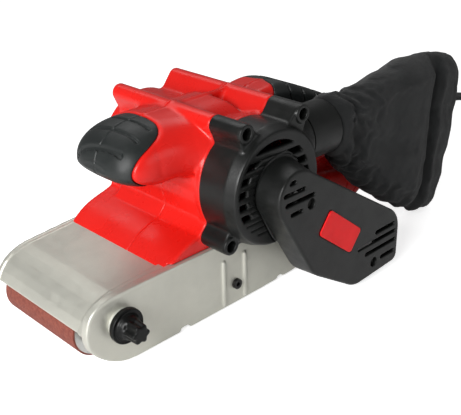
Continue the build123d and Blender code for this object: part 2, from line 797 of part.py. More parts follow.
HANDLE = [(54, 126), (60, 136), (84, 133.8), (128, 117.4), (160, 101.5), (186, 79), (191.5, 60),
          (187, 38), (174, 22), (158, 20.5), (110, 31), (106, 48.5), (78, 48.5), (54, 90)]
OPENING = [(80, 98), (92, 101), (118, 88.5), (148, 72.5), (161, 60), (156, 50), (118, 56), (94, 68), (80, 82)]
GRIP_ZONE = [(84, 140), (82.5, 132), (76, 127), (77, 118), (98, 106), (99, 88), (118, 70),
             (150, 64), (161, 66), (200, 72), (200, 140)]
NECK = [(-26, 134.5), (4, 136.5), (4, 86), (-26, 90)]
SKIRT = [(-43.5, 48.5), (-35.6, 55.3), (-26.7, 59.5), (-11.4, 63.6), (-7.6, 66.5), (-10.6, 76),
         (-12.5, 87), (20, 97), (58, 97), (72, 74), (100, 62), (104, 48.5)]
SKIRT_ROOM = [(-37, 48.5), (-29, 53.6), (-10, 57.5), (62, 57.5), (92, 57.5), (98, 48.5)]
SWITCH_ROOM = [(94, 121.5), (124, 110.8), (124, 96), (89, 108)]
TRIGGER_SLOT = [(88.5, 108), (96, 110), (123, 101), (123, 76), (90, 84)]

BULB = (31, 31, 20)


def bulb(inset):
    """Egg of the front grip, wider than it is high."""
    with BuildPart() as egg:
        with BuildSketch(Plane.XZ):
            Ellipse(BULB[0] - inset, 1)
            with Locations((0, -1)):
                Rectangle(80, 2, mode=Mode.SUBTRACT)
        revolve(axis=Axis.X)
    return Pos(-32, PARTING_Y, 115.5) * scale(egg.part, by=(1, BULB[1] - inset, BULB[2] - inset))


bulb_outer = bulb(0)
bulb_core = bulb(4)


def handle_loop(inset):
    """D-shaped loop of the rear handle, drawn in by the inset under the rubber."""
    with BuildSketch(at_y(PARTING_Y)) as outer:
        Polygon(*HANDLE, align=None)
        fillet(outer.vertices().filter_by(lambda v: v.X > 80), 7)
        offset(amount=-inset)
    with BuildSketch(at_y(PARTING_Y)) as inner:
        Polygon(*OPENING, align=None)
        fillet(inner.vertices(), 5)
        offset(amount=inset)
    return outer.sketch, inner.sketch


full_outer, full_inner = handle_loop(0)
core_outer, core_inner = handle_loop(RUBBER)


def housing_half(side, barrel_depth, skirt_depth, boss_depth):
    """One red shell; side is 1 towards the drive side and -1 away from it."""
    with BuildPart() as half:
        # Rear handle: full width, cut away and necked in under the rubber
        with BuildSketch(at_y(PARTING_Y)):
            add(full_outer)
            add(full_inner, mode=Mode.SUBTRACT)
        extrude(amount=side * GRIP_HALF)
        with BuildSketch(at_y(PARTING_Y)):
            add(full_outer)
            Polygon((60, 48), (60, 62), (200, 62), (200, 10), (60, 10), align=None, mode=Mode.INTERSECT)
            add(full_inner, mode=Mode.SUBTRACT)
        extrude(amount=side * 22)
        with BuildSketch(at_y(PARTING_Y)):
            Polygon(*GRIP_ZONE, align=None)
        extrude(amount=side * 30, mode=Mode.SUBTRACT)
        with BuildSketch(at_y(PARTING_Y)):
            add(core_outer)
            add(core_inner, mode=Mode.SUBTRACT)
        extrude(amount=side * CORE_HALF)
        # Motor barrel, skirt, neck and bosses
        with BuildSketch(at_y(PARTING_Y)):
            with Locations((MOTOR_X, MOTOR_Z)):
                Circle(BARREL_R)
        extrude(amount=side * barrel_depth)
        with BuildSketch(at_y(PARTING_Y)):
            Polygon(*SKIRT, align=None)
        extrude(amount=side * skirt_depth)
        with BuildSketch(at_y(PARTING_Y)):
            Polygon(*NECK, align=None)
        extrude(amount=side * 22)
        for index in range(4):
            with BuildSketch(at_y(PARTING_Y)):
                boss_web(index)
            extrude(amount=side * boss_depth)
        add(bulb_core)
        # Rooms for the motor, the deck screws, the switch and the trigger
        with BuildSketch(at_y(PARTING_Y)):
            with Locations((MOTOR_X, MOTOR_Z)):
                Circle(BARREL_BORE_R)
        extrude(amount=side * (40 if side > 0 else FAR_WALL_Y - PARTING_Y), mode=Mode.SUBTRACT)
        with BuildSketch(at_y(PARTING_Y)):
            Polygon(*SKIRT_ROOM, align=None)
        extrude(amount=side * (skirt_depth - 3), mode=Mode.SUBTRACT)
        post_y = -44 if side > 0 else 32
        with BuildSketch(Plane.XY.offset(DECK_TOP)):
            with Locations((-20, post_y), (85, post_y)):
                Circle(5)
        extrude(amount=11)
        with BuildSketch(Plane.XY.offset(DECK_TOP)):
            with Locations((-20, post_y), (85, post_y)):
                Circle(SCREW_R)
        extrude(amount=8, mode=Mode.SUBTRACT)
        with BuildSketch(at_y(PARTING_Y)):
            Polygon(*SWITCH_ROOM, align=None)
        extrude(amount=side * 8.2, mode=Mode.SUBTRACT)
        with BuildSketch(at_y(PARTING_Y)):
            Polygon(*TRIGGER_SLOT, align=None)
        extrude(amount=side * 7, mode=Mode.SUBTRACT)
        with BuildSketch(at_y(PARTING_Y)):
            with Locations(TRIGGER_PIVOT):
                Circle(1.5)
        extrude(amount=side * 10, mode=Mode.SUBTRACT)
        with BuildSketch(Plane.YZ.offset(166)):
            with Locations((PARTING_Y, CORD_EXIT_Z)):
                Circle(8)
        extrude(amount=40, mode=Mode.SUBTRACT)
        with BuildSketch(at_y(PARTING_Y)):
            with Locations(BOSSES):
                Circle(SCREW_R)
        extrude(amount=side * min(boss_depth, 48), mode=Mode.SUBTRACT)
        # Nothing crosses the parting plane
        with BuildSketch(at_y(PARTING_Y)):
            with Locations((-30, 110)):
                Rectangle(90, 90)
        extrude(amount=-side * 40, mode=Mode.SUBTRACT)
    return half


with BuildPart() as near_housing:
    add(housing_half(1, 40, 39, 40).part)
    with BuildSketch(at_y(-26)):
        with Locations((108, 110)):
            Circle(4.3)
    extrude(amount=20, mode=Mode.SUBTRACT)
    # Rebate over the lip of the cast wall
    with Locations((30, WALL_IN_Y - 3, 49.4)):
        Box(200, 6, 2.9, mode=Mode.SUBTRACT)
write(near_housing, "near_housing")

with BuildPart() as far_housing:
    add(housing_half(-1, SHELL_FAR_Y - PARTING_Y, 62, BOSS_FAR_Y - PARTING_Y).part)
    # Bearing seat, air inlets and brush-cap holes
    with BuildSketch(at_y(FAR_WALL_Y + 1)):
        with Locations((MOTOR_X, MOTOR_Z)):
            Circle(14)
            Circle(11, mode=Mode.SUBTRACT)
    extrude(amount=FAR_WALL_Y + 1 - 30)
    with BuildSketch(at_y(FAR_WALL_Y + 1)):
        with Locations((MOTOR_X, MOTOR_Z)):
            Circle(12)
    extrude(amount=5.8)
    with BuildSketch(at_y(SHELL_FAR_Y)):
        with Locations((MOTOR_X, MOTOR_Z)):
            with PolarLocations(25, 16):
                SlotOverall(14, 3)
    extrude(amount=5, mode=Mode.SUBTRACT)
    with BuildSketch(Plane.YZ.offset(MOTOR_X - 45)):
        with Locations((BRUSH_Y, MOTOR_Z)):
            Circle(8)
    extrude(amount=90, mode=Mode.SUBTRACT)
write(far_housing, "far_housing")

# ------------------------------------------------------- grips and controls

with BuildPart() as front_grip:
    add(bulb_outer)
    with BuildSketch(at_y(PARTING_Y)):
        with Locations((4, 110)):
            Rectangle(60, 90)
    extrude(amount=40, both=True, mode=Mode.SUBTRACT)
    add(bulb_core, mode=Mode.SUBTRACT)
write(front_grip, "front_grip")

with BuildPart() as rear_grip:
    with BuildSketch(at_y(PARTING_Y)):
        add(full_outer)
        Polygon(*GRIP_ZONE, align=None, mode=Mode.INTERSECT)
        add(full_inner, mode=Mode.SUBTRACT)
    extrude(amount=GRIP_HALF, both=True)
    with BuildSketch(at_y(PARTING_Y)):
        add(core_outer)
        add(core_inner, mode=Mode.SUBTRACT)
    extrude(amount=CORE_HALF, both=True, mode=Mode.SUBTRACT)
    with BuildSketch(at_y(PARTING_Y)):
        Polygon(*TRIGGER_SLOT, align=None)
    extrude(amount=7, both=True, mode=Mode.SUBTRACT)
    with BuildSketch(at_y(-26)):
        with Locations((108, 110)):
            Circle(4.3)
    extrude(amount=20, mode=Mode.SUBTRACT)
write(rear_grip, "rear_grip")

with BuildPart() as trigger:
    with BuildSketch(at_y(PARTING_Y)):
        Polygon((90.5, 106), (95, 107.5), (121, 97), (119.5, 86), (113, 81.5), (101, 86), (92, 97),
                align=None)
    extrude(amount=6.5, both=True)
    with BuildSketch(at_y(PARTING_Y)):
        with Locations(TRIGGER_PIVOT):
            Circle(1.45)
    extrude(amount=9.8, both=True)
write(trigger, "trigger")

with BuildPart() as switch_body:
    with BuildSketch(at_y(PARTING_Y)):
        Polygon((100, 119), (122, 111), (119, 103.8), (97, 112.5), align=None)
    extrude(amount=6, both=True)
write(switch_body, "switch_body")

lock_button = rod(108, 110, -27.2, -40.6, 4)
write(lock_button, "lock_button")

with BuildPart() as housing_screws:
    for x, z in BOSSES:
        with BuildSketch(at_y(-66)):
            with Locations((x, z)):
                Circle(3.5)
                RegularPolygon(1.6, 6, mode=Mode.SUBTRACT)
        extrude(amount=2.6)
        with BuildSketch(at_y(29)):
            with Locations((x, z)):
                Circle(SCREW_R)
        extrude(amount=95.4)
write(housing_screws, "housing_screws")

with BuildPart() as frame_screws:
    for x, y in ((-20, -44), (85, -44), (-20, 32), (85, 32)):
        with BuildSketch(Plane.XY.offset(DECK_BOTTOM + 0.3)):
            with Locations((x, y)):
                Circle(3.8)
        extrude(amount=2.7)
        with BuildSketch(Plane.XY.offset(DECK_BOTTOM + 3)):
            with Locations((x, y)):
                Circle(SCREW_R)
        extrude(amount=11)
    with BuildSketch(at_y(-41)):
        with Locations((12.7, 16.7)):
            Circle(SCREW_R)
    extrude(amount=19)
    with BuildSketch(at_y(WALL_OUT_Y)):
        with Locations((12.7, 16.7)):
            Circle(3.6)
            RegularPolygon(1.8, 6, mode=Mode.SUBTRACT)
    extrude(amount=2.4)
write(frame_screws, "frame_screws")

# ------------------------------------------------------------------ dust bag

with BuildPart() as bag_collar:
    with BuildSketch(Plane.YZ.offset(COLLAR_START_X)):
        with Locations((DUCT_Y, DUCT_Z)):
            Circle(COLLAR_R)
            Circle(SPIGOT_R + 0.3, mode=Mode.SUBTRACT)
    extrude(amount=COLLAR_END_X - COLLAR_START_X)
write(bag_collar, "bag_collar")

BAG_Y = -68
BAG_OUTLINE = [(98, 128), (140, 134), (186, 137.5), (223, 134.7), (244, 128), (256, 115), (256, 84),
               (250, 46), (236, 10), (214, 8), (184, 22), (166.5, 33.8), (136.8, 54.6), (102, 86)]
with BuildPart() as dust_bag:
    with BuildSketch(at_y(BAG_Y)):
        Polygon(*BAG_OUTLINE, align=None)
    extrude(amount=22, both=True, taper=22)
    with BuildSketch(Plane.YZ.offset(COLLAR_END_X)):
        with Locations((DUCT_Y, DUCT_Z)):
            Circle(COLLAR_R - 0.4)
    with BuildSketch(Plane.YZ.offset(130)):
        with Locations((BAG_Y, 100)):
            Ellipse(19, 26)
    loft()
write(dust_bag, "dust_bag")

# ----------------------------------------------------------------- mains lead

with BuildPart() as cord_guard:
    with BuildSketch(Plane.YZ.offset(166)):
        with Locations((PARTING_Y, CORD_EXIT_Z)):
            Circle(8)
    extrude(amount=24)
    with BuildSketch(Plane.YZ.offset(190)):
        with Locations((PARTING_Y, CORD_EXIT_Z)):
            Circle(8)
    with BuildSketch(Plane.YZ.offset(235)):
        with Locations((PARTING_Y, CORD_EXIT_Z)):
            Circle(5.4)
    loft()
    with BuildSketch(Plane.YZ.offset(205)):
        with Locations((PARTING_Y, CORD_EXIT_Z)):
            Circle(CORD_D / 2)
    extrude(amount=40, mode=Mode.SUBTRACT)
write(cord_guard, "cord_guard")

CORD_ROUTE = [
    (205, PARTING_Y, CORD_EXIT_Z),
    (262, -17.5, 59.5),
    (318, -12, 56.5),
    (370, -3, 49),
    (412, 5, 35),
    (446, 10, 22),
    (476, 11, 14),
    (503, 2, 12.5),
]
TAIL_ROUTE = [(494, -81.5, 12), (470.5, -94.6, 13)]


def corner_radii(points):
    """Largest tangent arc that each corner's two runs leave room for."""
    radii = []
    for before, here, after in zip(points, points[1:], points[2:]):
        first = Vector(*here) - Vector(*before)
        second = Vector(*after) - Vector(*here)
        turn = math.radians(first.get_angle(second))
        radii.append(0.45 * min(first.length, second.length) / math.tan(turn / 2))
    return radii


route_radii = corner_radii(CORD_ROUTE)
with BuildPart() as power_cord:
    with BuildLine() as route:
        FilletPolyline(*CORD_ROUTE, radius=route_radii)
    with BuildSketch(Plane(origin=CORD_ROUTE[0], z_dir=route.line % 0)):
        Circle(CORD_D / 2)
    sweep(path=route.line)
    with BuildLine() as tail:
        Line(*TAIL_ROUTE)
    with BuildSketch(Plane(origin=TAIL_ROUTE[0], z_dir=tail.line % 0)):
        Circle(CORD_D / 2)
    sweep(path=tail.line)
write(power_cord, "power_cord")

COIL_LOW = 1.2
with BuildPart() as cord_coil:
    with BuildSketch(Plane.XZ.offset(-COIL_Y)):
        with Locations((COIL_X + COIL_MEAN_R, COIL_LOW + CORD_D)):
            RectangleRounded(3 * CORD_D, 2 * CORD_D, 3.5)
    revolve(axis=Axis((COIL_X, COIL_Y, 0), (0, 0, 1)))
write(cord_coil, "cord_coil")

with BuildPart() as cord_tie:
    with BuildSketch(Plane.XZ.offset(-COIL_Y + 5)):
        with Locations((COIL_X - COIL_MEAN_R, COIL_LOW + CORD_D)):
            RectangleRounded(3 * CORD_D + 3.6, 2 * CORD_D + 2.4, 4.7)
            RectangleRounded(3 * CORD_D + 1.6, 2 * CORD_D + 0.4, 3.7, mode=Mode.SUBTRACT)
    extrude(amount=-10)
write(cord_tie, "cord_tie")

tail_along = (Vector(*TAIL_ROUTE[1]) - Vector(*TAIL_ROUTE[0])).normalized()
plug_along = Vector(tail_along.X, tail_along.Y, 0).normalized()
plug_side = Vector(-plug_along.Y, plug_along.X, 0)
plug_start = Vector(*TAIL_ROUTE[1])


def plug_plane(along):
    return Plane(origin=plug_start + plug_along * along, x_dir=plug_side, z_dir=plug_along)


with BuildPart() as plug_body:
    with BuildSketch(plug_plane(0)):
        Circle(5.4)
    with BuildSketch(plug_plane(24)):
        Ellipse(10, 8)
    loft()
    with BuildSketch(plug_plane(24)):
        RectangleRounded(26, 20, 8)
    with BuildSketch(plug_plane(46)):
        RectangleRounded(36, 26, 11)
    loft()
    with BuildSketch(plug_plane(46)):
        RectangleRounded(37, 26, 11)
    extrude(amount=9)
write(plug_body, "plug_body")

with BuildPart() as plug_pins:
    with BuildSketch(plug_plane(55)):
        with Locations((-9.5, 0), (9.5, 0)):
            Circle(2.4)
    extrude(amount=19)
write(plug_pins, "plug_pins")
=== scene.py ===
"""Handheld belt sander on a white table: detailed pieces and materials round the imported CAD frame."""

import json
import math

import bpy
import numpy as np
from mathutils import Matrix, Vector


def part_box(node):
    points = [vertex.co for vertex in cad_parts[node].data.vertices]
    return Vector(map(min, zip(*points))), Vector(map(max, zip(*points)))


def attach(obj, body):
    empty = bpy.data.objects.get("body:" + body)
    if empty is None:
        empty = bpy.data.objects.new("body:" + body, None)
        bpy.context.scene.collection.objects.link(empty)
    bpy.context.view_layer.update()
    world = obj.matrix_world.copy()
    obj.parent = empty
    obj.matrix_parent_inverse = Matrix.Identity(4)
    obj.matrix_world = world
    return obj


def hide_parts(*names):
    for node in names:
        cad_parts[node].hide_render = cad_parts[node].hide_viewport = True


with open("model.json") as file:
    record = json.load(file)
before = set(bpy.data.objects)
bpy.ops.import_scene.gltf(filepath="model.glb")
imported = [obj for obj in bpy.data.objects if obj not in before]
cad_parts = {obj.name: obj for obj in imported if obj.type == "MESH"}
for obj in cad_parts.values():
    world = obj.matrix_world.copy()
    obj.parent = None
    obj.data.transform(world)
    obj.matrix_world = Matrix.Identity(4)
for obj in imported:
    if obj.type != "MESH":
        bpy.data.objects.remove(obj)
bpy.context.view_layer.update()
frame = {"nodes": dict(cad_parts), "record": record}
scene = bpy.context.scene
MM = 0.001


# ------------------------------------------------------------------ camera

AZIMUTH, ELEVATION, ROLL = (math.radians(angle) for angle in (-44.0, 25.8, -1.2))
CAMERA_AT = Vector((-0.3206, -0.4014, 0.3038))
SENSOR_MM = 36
LENS_MM = 64.4


def add_camera():
    flat = math.cos(ELEVATION)
    back = Vector((math.sin(AZIMUTH) * flat, -math.cos(AZIMUTH) * flat, math.sin(ELEVATION)))
    level = Vector((math.cos(AZIMUTH), math.sin(AZIMUTH), 0))
    above = back.cross(level)
    right = math.cos(ROLL) * level + math.sin(ROLL) * above
    up = -math.sin(ROLL) * level + math.cos(ROLL) * above
    data = bpy.data.cameras.new("camera")
    data.sensor_fit = "HORIZONTAL"
    data.sensor_width = SENSOR_MM
    data.lens = LENS_MM
    data.clip_start = 0.01
    camera = bpy.data.objects.new("camera", data)
    scene.collection.objects.link(camera)
    turn = Matrix((right, up, back)).transposed().to_4x4()
    camera.matrix_world = Matrix.Translation(CAMERA_AT) @ turn
    scene.camera = camera


add_camera()

# ------------------------------------------------------------------ materials


def node(tree, kind, **values):
    """New shader node: in_ values go to its sockets, the others to its own settings."""
    made = tree.nodes.new(kind)
    for key, value in values.items():
        if key.startswith("in_"):
            made.inputs[key[3:].replace("_", " ")].default_value = value
        else:
            setattr(made, key, value)
    return made


def ramp(tree, source, low, high, start, end):
    """Maps a 0..1 texture value to a number range."""
    made = node(tree, "ShaderNodeMapRange", in_From_Min=low, in_From_Max=high, in_To_Min=start,
                in_To_Max=end)
    tree.links.new(source, made.inputs["Value"])
    return made.outputs["Result"]


def noise(tree, where, scale, detail=4.0, rough=0.55):
    made = node(tree, "ShaderNodeTexNoise", in_Scale=scale, in_Detail=detail, in_Roughness=rough)
    tree.links.new(where, made.inputs["Vector"])
    return made.outputs["Fac"]


def finish(name, color, roughness, second=None, metallic=0.0, grain=(900, 0.15, 0.0001), blotch=35.0,
           spread=0.08, specular=0.5, sheen=0.0, wear=None):
    """Principled material: colour drift, uneven roughness, fine surface grain and lighter worn edges."""
    material = bpy.data.materials.new(name)
    material.use_nodes = True
    tree = material.node_tree
    shader = tree.nodes["Principled BSDF"]
    shader.inputs["Metallic"].default_value = metallic
    shader.inputs["Specular IOR Level"].default_value = specular
    shader.inputs["Sheen Weight"].default_value = sheen
    where = node(tree, "ShaderNodeTexCoord").outputs["Object"]
    drift = noise(tree, where, blotch, 5.0)
    mix = node(tree, "ShaderNodeMix", data_type="RGBA")
    mix.inputs["A"].default_value = (*color, 1)
    mix.inputs["B"].default_value = (*(second or [c * 0.8 for c in color]), 1)
    tree.links.new(ramp(tree, drift, 0.35, 0.68, 0.0, 1.0), mix.inputs["Factor"])
    tint = mix.outputs["Result"]
    if wear:
        edges = node(tree, "ShaderNodeNewGeometry").outputs["Pointiness"]
        worn = node(tree, "ShaderNodeMix", data_type="RGBA")
        worn.inputs["B"].default_value = (*wear, 1)
        tree.links.new(ramp(tree, edges, 0.53, 0.6, 0.0, 0.6), worn.inputs["Factor"])
        tree.links.new(tint, worn.inputs["A"])
        tint = worn.outputs["Result"]
    tree.links.new(tint, shader.inputs["Base Color"])
    smudge = noise(tree, where, blotch * 3, 3.0)
    tree.links.new(ramp(tree, smudge, 0.3, 0.7, roughness - spread, roughness + spread),
                   shader.inputs["Roughness"])
    scale, strength, depth = grain
    bump = node(tree, "ShaderNodeBump", in_Strength=strength, in_Distance=depth)
    tree.links.new(noise(tree, where, scale, 2.0), bump.inputs["Height"])
    tree.links.new(bump.outputs["Normal"], shader.inputs["Normal"])
    return material


def add_bump(material, height, strength, depth):
    """Puts one more bump under the material's own grain."""
    tree = material.node_tree
    grain = next(n for n in tree.nodes if n.type == "BUMP")
    bump = node(tree, "ShaderNodeBump", in_Strength=strength, in_Distance=depth)
    tree.links.new(height, bump.inputs["Height"])
    tree.links.new(bump.outputs["Normal"], grain.inputs["Normal"])


def woven(name, color, pitch, strength):
    """Cloth with crossing threads along the piece's own X and Z."""
    material = finish(name, color, 0.82, second=[c * 1.7 for c in color], grain=(2500, 0.25, 0.0002),
                      blotch=60, spread=0.06, sheen=0.12, specular=0.25)
    tree = material.node_tree
    where = node(tree, "ShaderNodeTexCoord").outputs["Object"]
    heights = []
    for direction in ("X", "Z"):
        wave = node(tree, "ShaderNodeTexWave", bands_direction=direction, in_Scale=pitch,
                    in_Distortion=0.6, in_Detail=1.0)
        tree.links.new(where, wave.inputs["Vector"])
        heights.append(wave.outputs["Fac"])
    both = node(tree, "ShaderNodeMath", operation="ADD")
    tree.links.new(heights[0], both.inputs[0])
    tree.links.new(heights[1], both.inputs[1])
    add_bump(material, both.outputs["Value"], strength, 0.0002)
    return material


def abrasive():
    """Grit in resin: dark and light grains over a brown-red ground."""
    material = finish("abrasive", (0.19, 0.040, 0.026), 0.75, second=(0.28, 0.072, 0.045),
                      grain=(1800, 0.9, 0.0006), blotch=420, spread=0.12)
    tree = material.node_tree
    where = node(tree, "ShaderNodeTexCoord").outputs["Object"]
    grit = node(tree, "ShaderNodeTexVoronoi", in_Scale=1400.0)
    tree.links.new(where, grit.inputs["Vector"])
    add_bump(material, grit.outputs["Distance"], 0.8, 0.0005)
    return material


def brushed(name, color, roughness, axis):
    """Metal with fine turned or rolled lines round one axis."""
    material = finish(name, color, roughness, metallic=1.0, grain=(1500, 0.1, 0.00005))
    tree = material.node_tree
    where = node(tree, "ShaderNodeTexCoord").outputs["Object"]
    stretch = node(tree, "ShaderNodeMapping")
    stretch.inputs["Scale"].default_value = [1.0 if letter == axis else 40.0 for letter in "XYZ"]
    tree.links.new(where, stretch.inputs["Vector"])
    add_bump(material, noise(tree, stretch.outputs["Vector"], 60, 3.0), 0.15, 0.0001)
    return material


MATERIALS = {
    "red_plastic": finish("red_plastic", (0.66, 0.011, 0.007), 0.30, second=(0.60, 0.009, 0.006),
                          grain=(2600, 0.10, 0.00008), specular=0.34, blotch=18),
    "black_plastic": finish("black_plastic", (0.0045, 0.005, 0.0047), 0.37, second=(0.007, 0.0075, 0.007),
                            grain=(3200, 0.35, 0.00012), specular=0.34),
    "black_rubber": finish("black_rubber", (0.010, 0.0125, 0.012), 0.46, second=(0.007, 0.009, 0.009),
                           grain=(2800, 0.4, 0.00012), specular=0.45),
    "cast_aluminium": finish("cast_aluminium", (0.57, 0.565, 0.50), 0.42, second=(0.535, 0.53, 0.47),
                             metallic=0.6, grain=(1700, 0.45, 0.00018), blotch=55,
                             wear=(0.72, 0.73, 0.70)),
    "foam_pad": finish("foam_pad", (0.10, 0.095, 0.09), 0.9, grain=(900, 0.8, 0.0004)),
    "steel_plate": brushed("steel_plate", (0.48, 0.48, 0.48), 0.32, "X"),
    "abrasive_belt": abrasive(),
    "turned_aluminium": brushed("turned_aluminium", (0.66, 0.66, 0.64), 0.3, "Y"),
    "bearing_steel": brushed("bearing_steel", (0.60, 0.60, 0.62), 0.18, "Y"),
    "machined_steel": brushed("machined_steel", (0.45, 0.45, 0.46), 0.28, "Y"),
    "dark_screws": finish("dark_screws", (0.035, 0.034, 0.033), 0.38, metallic=0.8,
                          grain=(2200, 0.2, 0.0001)),
    "pressed_steel": brushed("pressed_steel", (0.42, 0.42, 0.40), 0.36, "X"),
    "spring_steel": brushed("spring_steel", (0.28, 0.28, 0.29), 0.3, "X"),
    "knob_plastic": finish("knob_plastic", (0.0035, 0.0038, 0.0036), 0.38, grain=(3000, 0.3, 0.0001),
                           specular=0.22),
    "roller_rubber": finish("roller_rubber", (0.035, 0.034, 0.033), 0.8, grain=(1500, 0.5, 0.0002)),
    "brass_parts": brushed("brass_parts", (0.60, 0.42, 0.18), 0.28, "Y"),
    "pulley_metal": brushed("pulley_metal", (0.40, 0.40, 0.40), 0.42, "Y"),
    "toothed_rubber": finish("toothed_rubber", (0.028, 0.028, 0.028), 0.7, grain=(1500, 0.4, 0.0002)),
    "laminations": finish("laminations", (0.16, 0.16, 0.17), 0.45, metallic=0.7, grain=(900, 0.4, 0.0001)),
    "copper_windings": finish("copper_windings", (0.50, 0.20, 0.07), 0.33, metallic=0.9,
                              grain=(1400, 0.8, 0.0005)),
    "fan_plastic": finish("fan_plastic", (0.06, 0.06, 0.065), 0.5, grain=(2200, 0.3, 0.0001)),
    "carbon": finish("carbon", (0.03, 0.03, 0.03), 0.7, grain=(2500, 0.3, 0.0001)),
    "label_film": finish("label_film", (0.80, 0.010, 0.012), 0.38, specular=0.2,
                         grain=(2600, 0.1, 0.00005)),
    "bag_fabric": woven("bag_fabric", (0.0045, 0.0050, 0.0052), 520.0, 0.5),
    "cord_rubber": finish("cord_rubber", (0.009, 0.009, 0.010), 0.46, grain=(2400, 0.3, 0.0001)),
    "tie_wire": finish("tie_wire", (0.03, 0.03, 0.03), 0.55, grain=(2400, 0.3, 0.0001)),
    "pin_brass": brushed("pin_brass", (0.62, 0.48, 0.22), 0.25, "X"),
}

for entry in frame["record"]["subparts"]:
    solid = frame["nodes"][entry["node"]]
    solid.data.materials.clear()
    solid.data.materials.append(MATERIALS[entry["material_slot"]])

# ------------------------------------------------------------------ distance fields, in millimetres
# A field is negative inside. Prismatic terms are worked out on a plane and broadcast along it.


def union(a, b, soft=0.0):
    """Two solids joined, with a fillet of about the given width."""
    if not soft:
        return np.minimum(a, b)
    share = np.clip(0.5 + 0.5 * (b - a) / soft, 0, 1)
    return b * (1 - share) + a * share - soft * share * (1 - share)


def common(a, b, soft=0.0):
    """What two solids share."""
    return -union(-a, -b, soft)


def cut(a, b, soft=0.0):
    """The first solid without the second."""
    return -union(-a, b, soft)


def prism(flat, along, low, high, edge=0.8):
    """Solid of a flat field between two planes, its rims rounded by the edge radius."""
    side = flat + edge
    ends = np.abs(along - (low + high) / 2) - (high - low) / 2 + edge
    return np.minimum(np.maximum(side, ends), 0) + np.hypot(np.maximum(side, 0), np.maximum(ends, 0)) - edge


def disc(x, z, at, radius):
    return np.hypot(x - at[0], z - at[1]) - radius


def outline(x, z, points):
    """Exact signed distance to a closed polygon."""
    points = np.asarray(points, float)
    nearest = None
    inside = None
    for (ax, az), (bx, bz) in zip(points, np.roll(points, -1, axis=0)):
        ex, ez = bx - ax, bz - az
        share = np.clip(((x - ax) * ex + (z - az) * ez) / (ex * ex + ez * ez), 0, 1)
        away = (x - ax - share * ex) ** 2 + (z - az - share * ez) ** 2
        nearest = away if nearest is None else np.minimum(nearest, away)
        crosses = ((az > z) != (bz > z)) & (x < (bx - ax) * (z - az) / (ez if ez else 1e-9) + ax)
        inside = crosses if inside is None else inside ^ crosses
    return np.where(inside, -1.0, 1.0) * np.sqrt(nearest)


def block(x, z, low_x, high_x, low_z, high_z):
    """Flat rectangle between two places each way."""
    return outline(x, z, [(low_x, low_z), (high_x, low_z), (high_x, high_z), (low_x, high_z)])


def rounded(points, corners=3, reach=0.35):
    """Closed outline with each corner replaced by a short quadratic curve."""
    points = [np.array(p, float) for p in points]
    made = []
    for before, at, after in zip(points[-1:] + points[:-1], points, points[1:] + points[:1]):
        start = at + (before - at) * reach
        end = at + (after - at) * reach
        for step in range(corners + 1):
            t = step / corners
            made.append((1 - t) ** 2 * start + 2 * t * (1 - t) * at + t * t * end)
    return made


def capsule(x, z, first, second):
    """Flat hull of two circles given as x, z, radius."""
    ax, az, ra = first
    bx, bz, rb = second
    length = math.hypot(bx - ax, bz - az)
    ux, uz = (bx - ax) / length, (bz - az) / length
    across = np.abs((z - az) * ux - (x - ax) * uz)
    along = (x - ax) * ux + (z - az) * uz
    slope = (ra - rb) / length
    rise = math.sqrt(1 - slope * slope)
    part = along * rise - across * slope
    flank = across * rise + along * slope - ra
    start = np.hypot(across, along) - ra
    end = np.hypot(across, along - length) - rb
    return np.where(part < 0, start, np.where(part > rise * length, end, flank))


def hull(x, z, circles):
    """Flat hull of a ring of circles, each given as x, z, radius."""
    made = outline(x, z, [(cx, cz) for cx, cz, _ in circles])
    for first, second in zip(circles, circles[1:] + circles[:1]):
        made = np.minimum(made, capsule(x, z, first, second))
    return made


def slot(x, z, start, end, radius):
    """Flat slot with round ends, the second a hair smaller."""
    return capsule(x, z, (*start, radius), (*end, radius * 0.999))


def turned(x, z, at, degrees):
    """Coordinates of a plane turned about a point."""
    c, s = math.cos(math.radians(degrees)), math.sin(math.radians(degrees))
    return (x - at[0]) * c + (z - at[1]) * s, (z - at[1]) * c - (x - at[0]) * s


def plate(x, z, half_x, half_z, radius):
    """Rounded rectangle about the origin."""
    qx, qz = np.abs(x) - half_x + radius, np.abs(z) - half_z + radius
    return np.hypot(np.maximum(qx, 0), np.maximum(qz, 0)) + np.minimum(np.maximum(qx, qz), 0) - radius


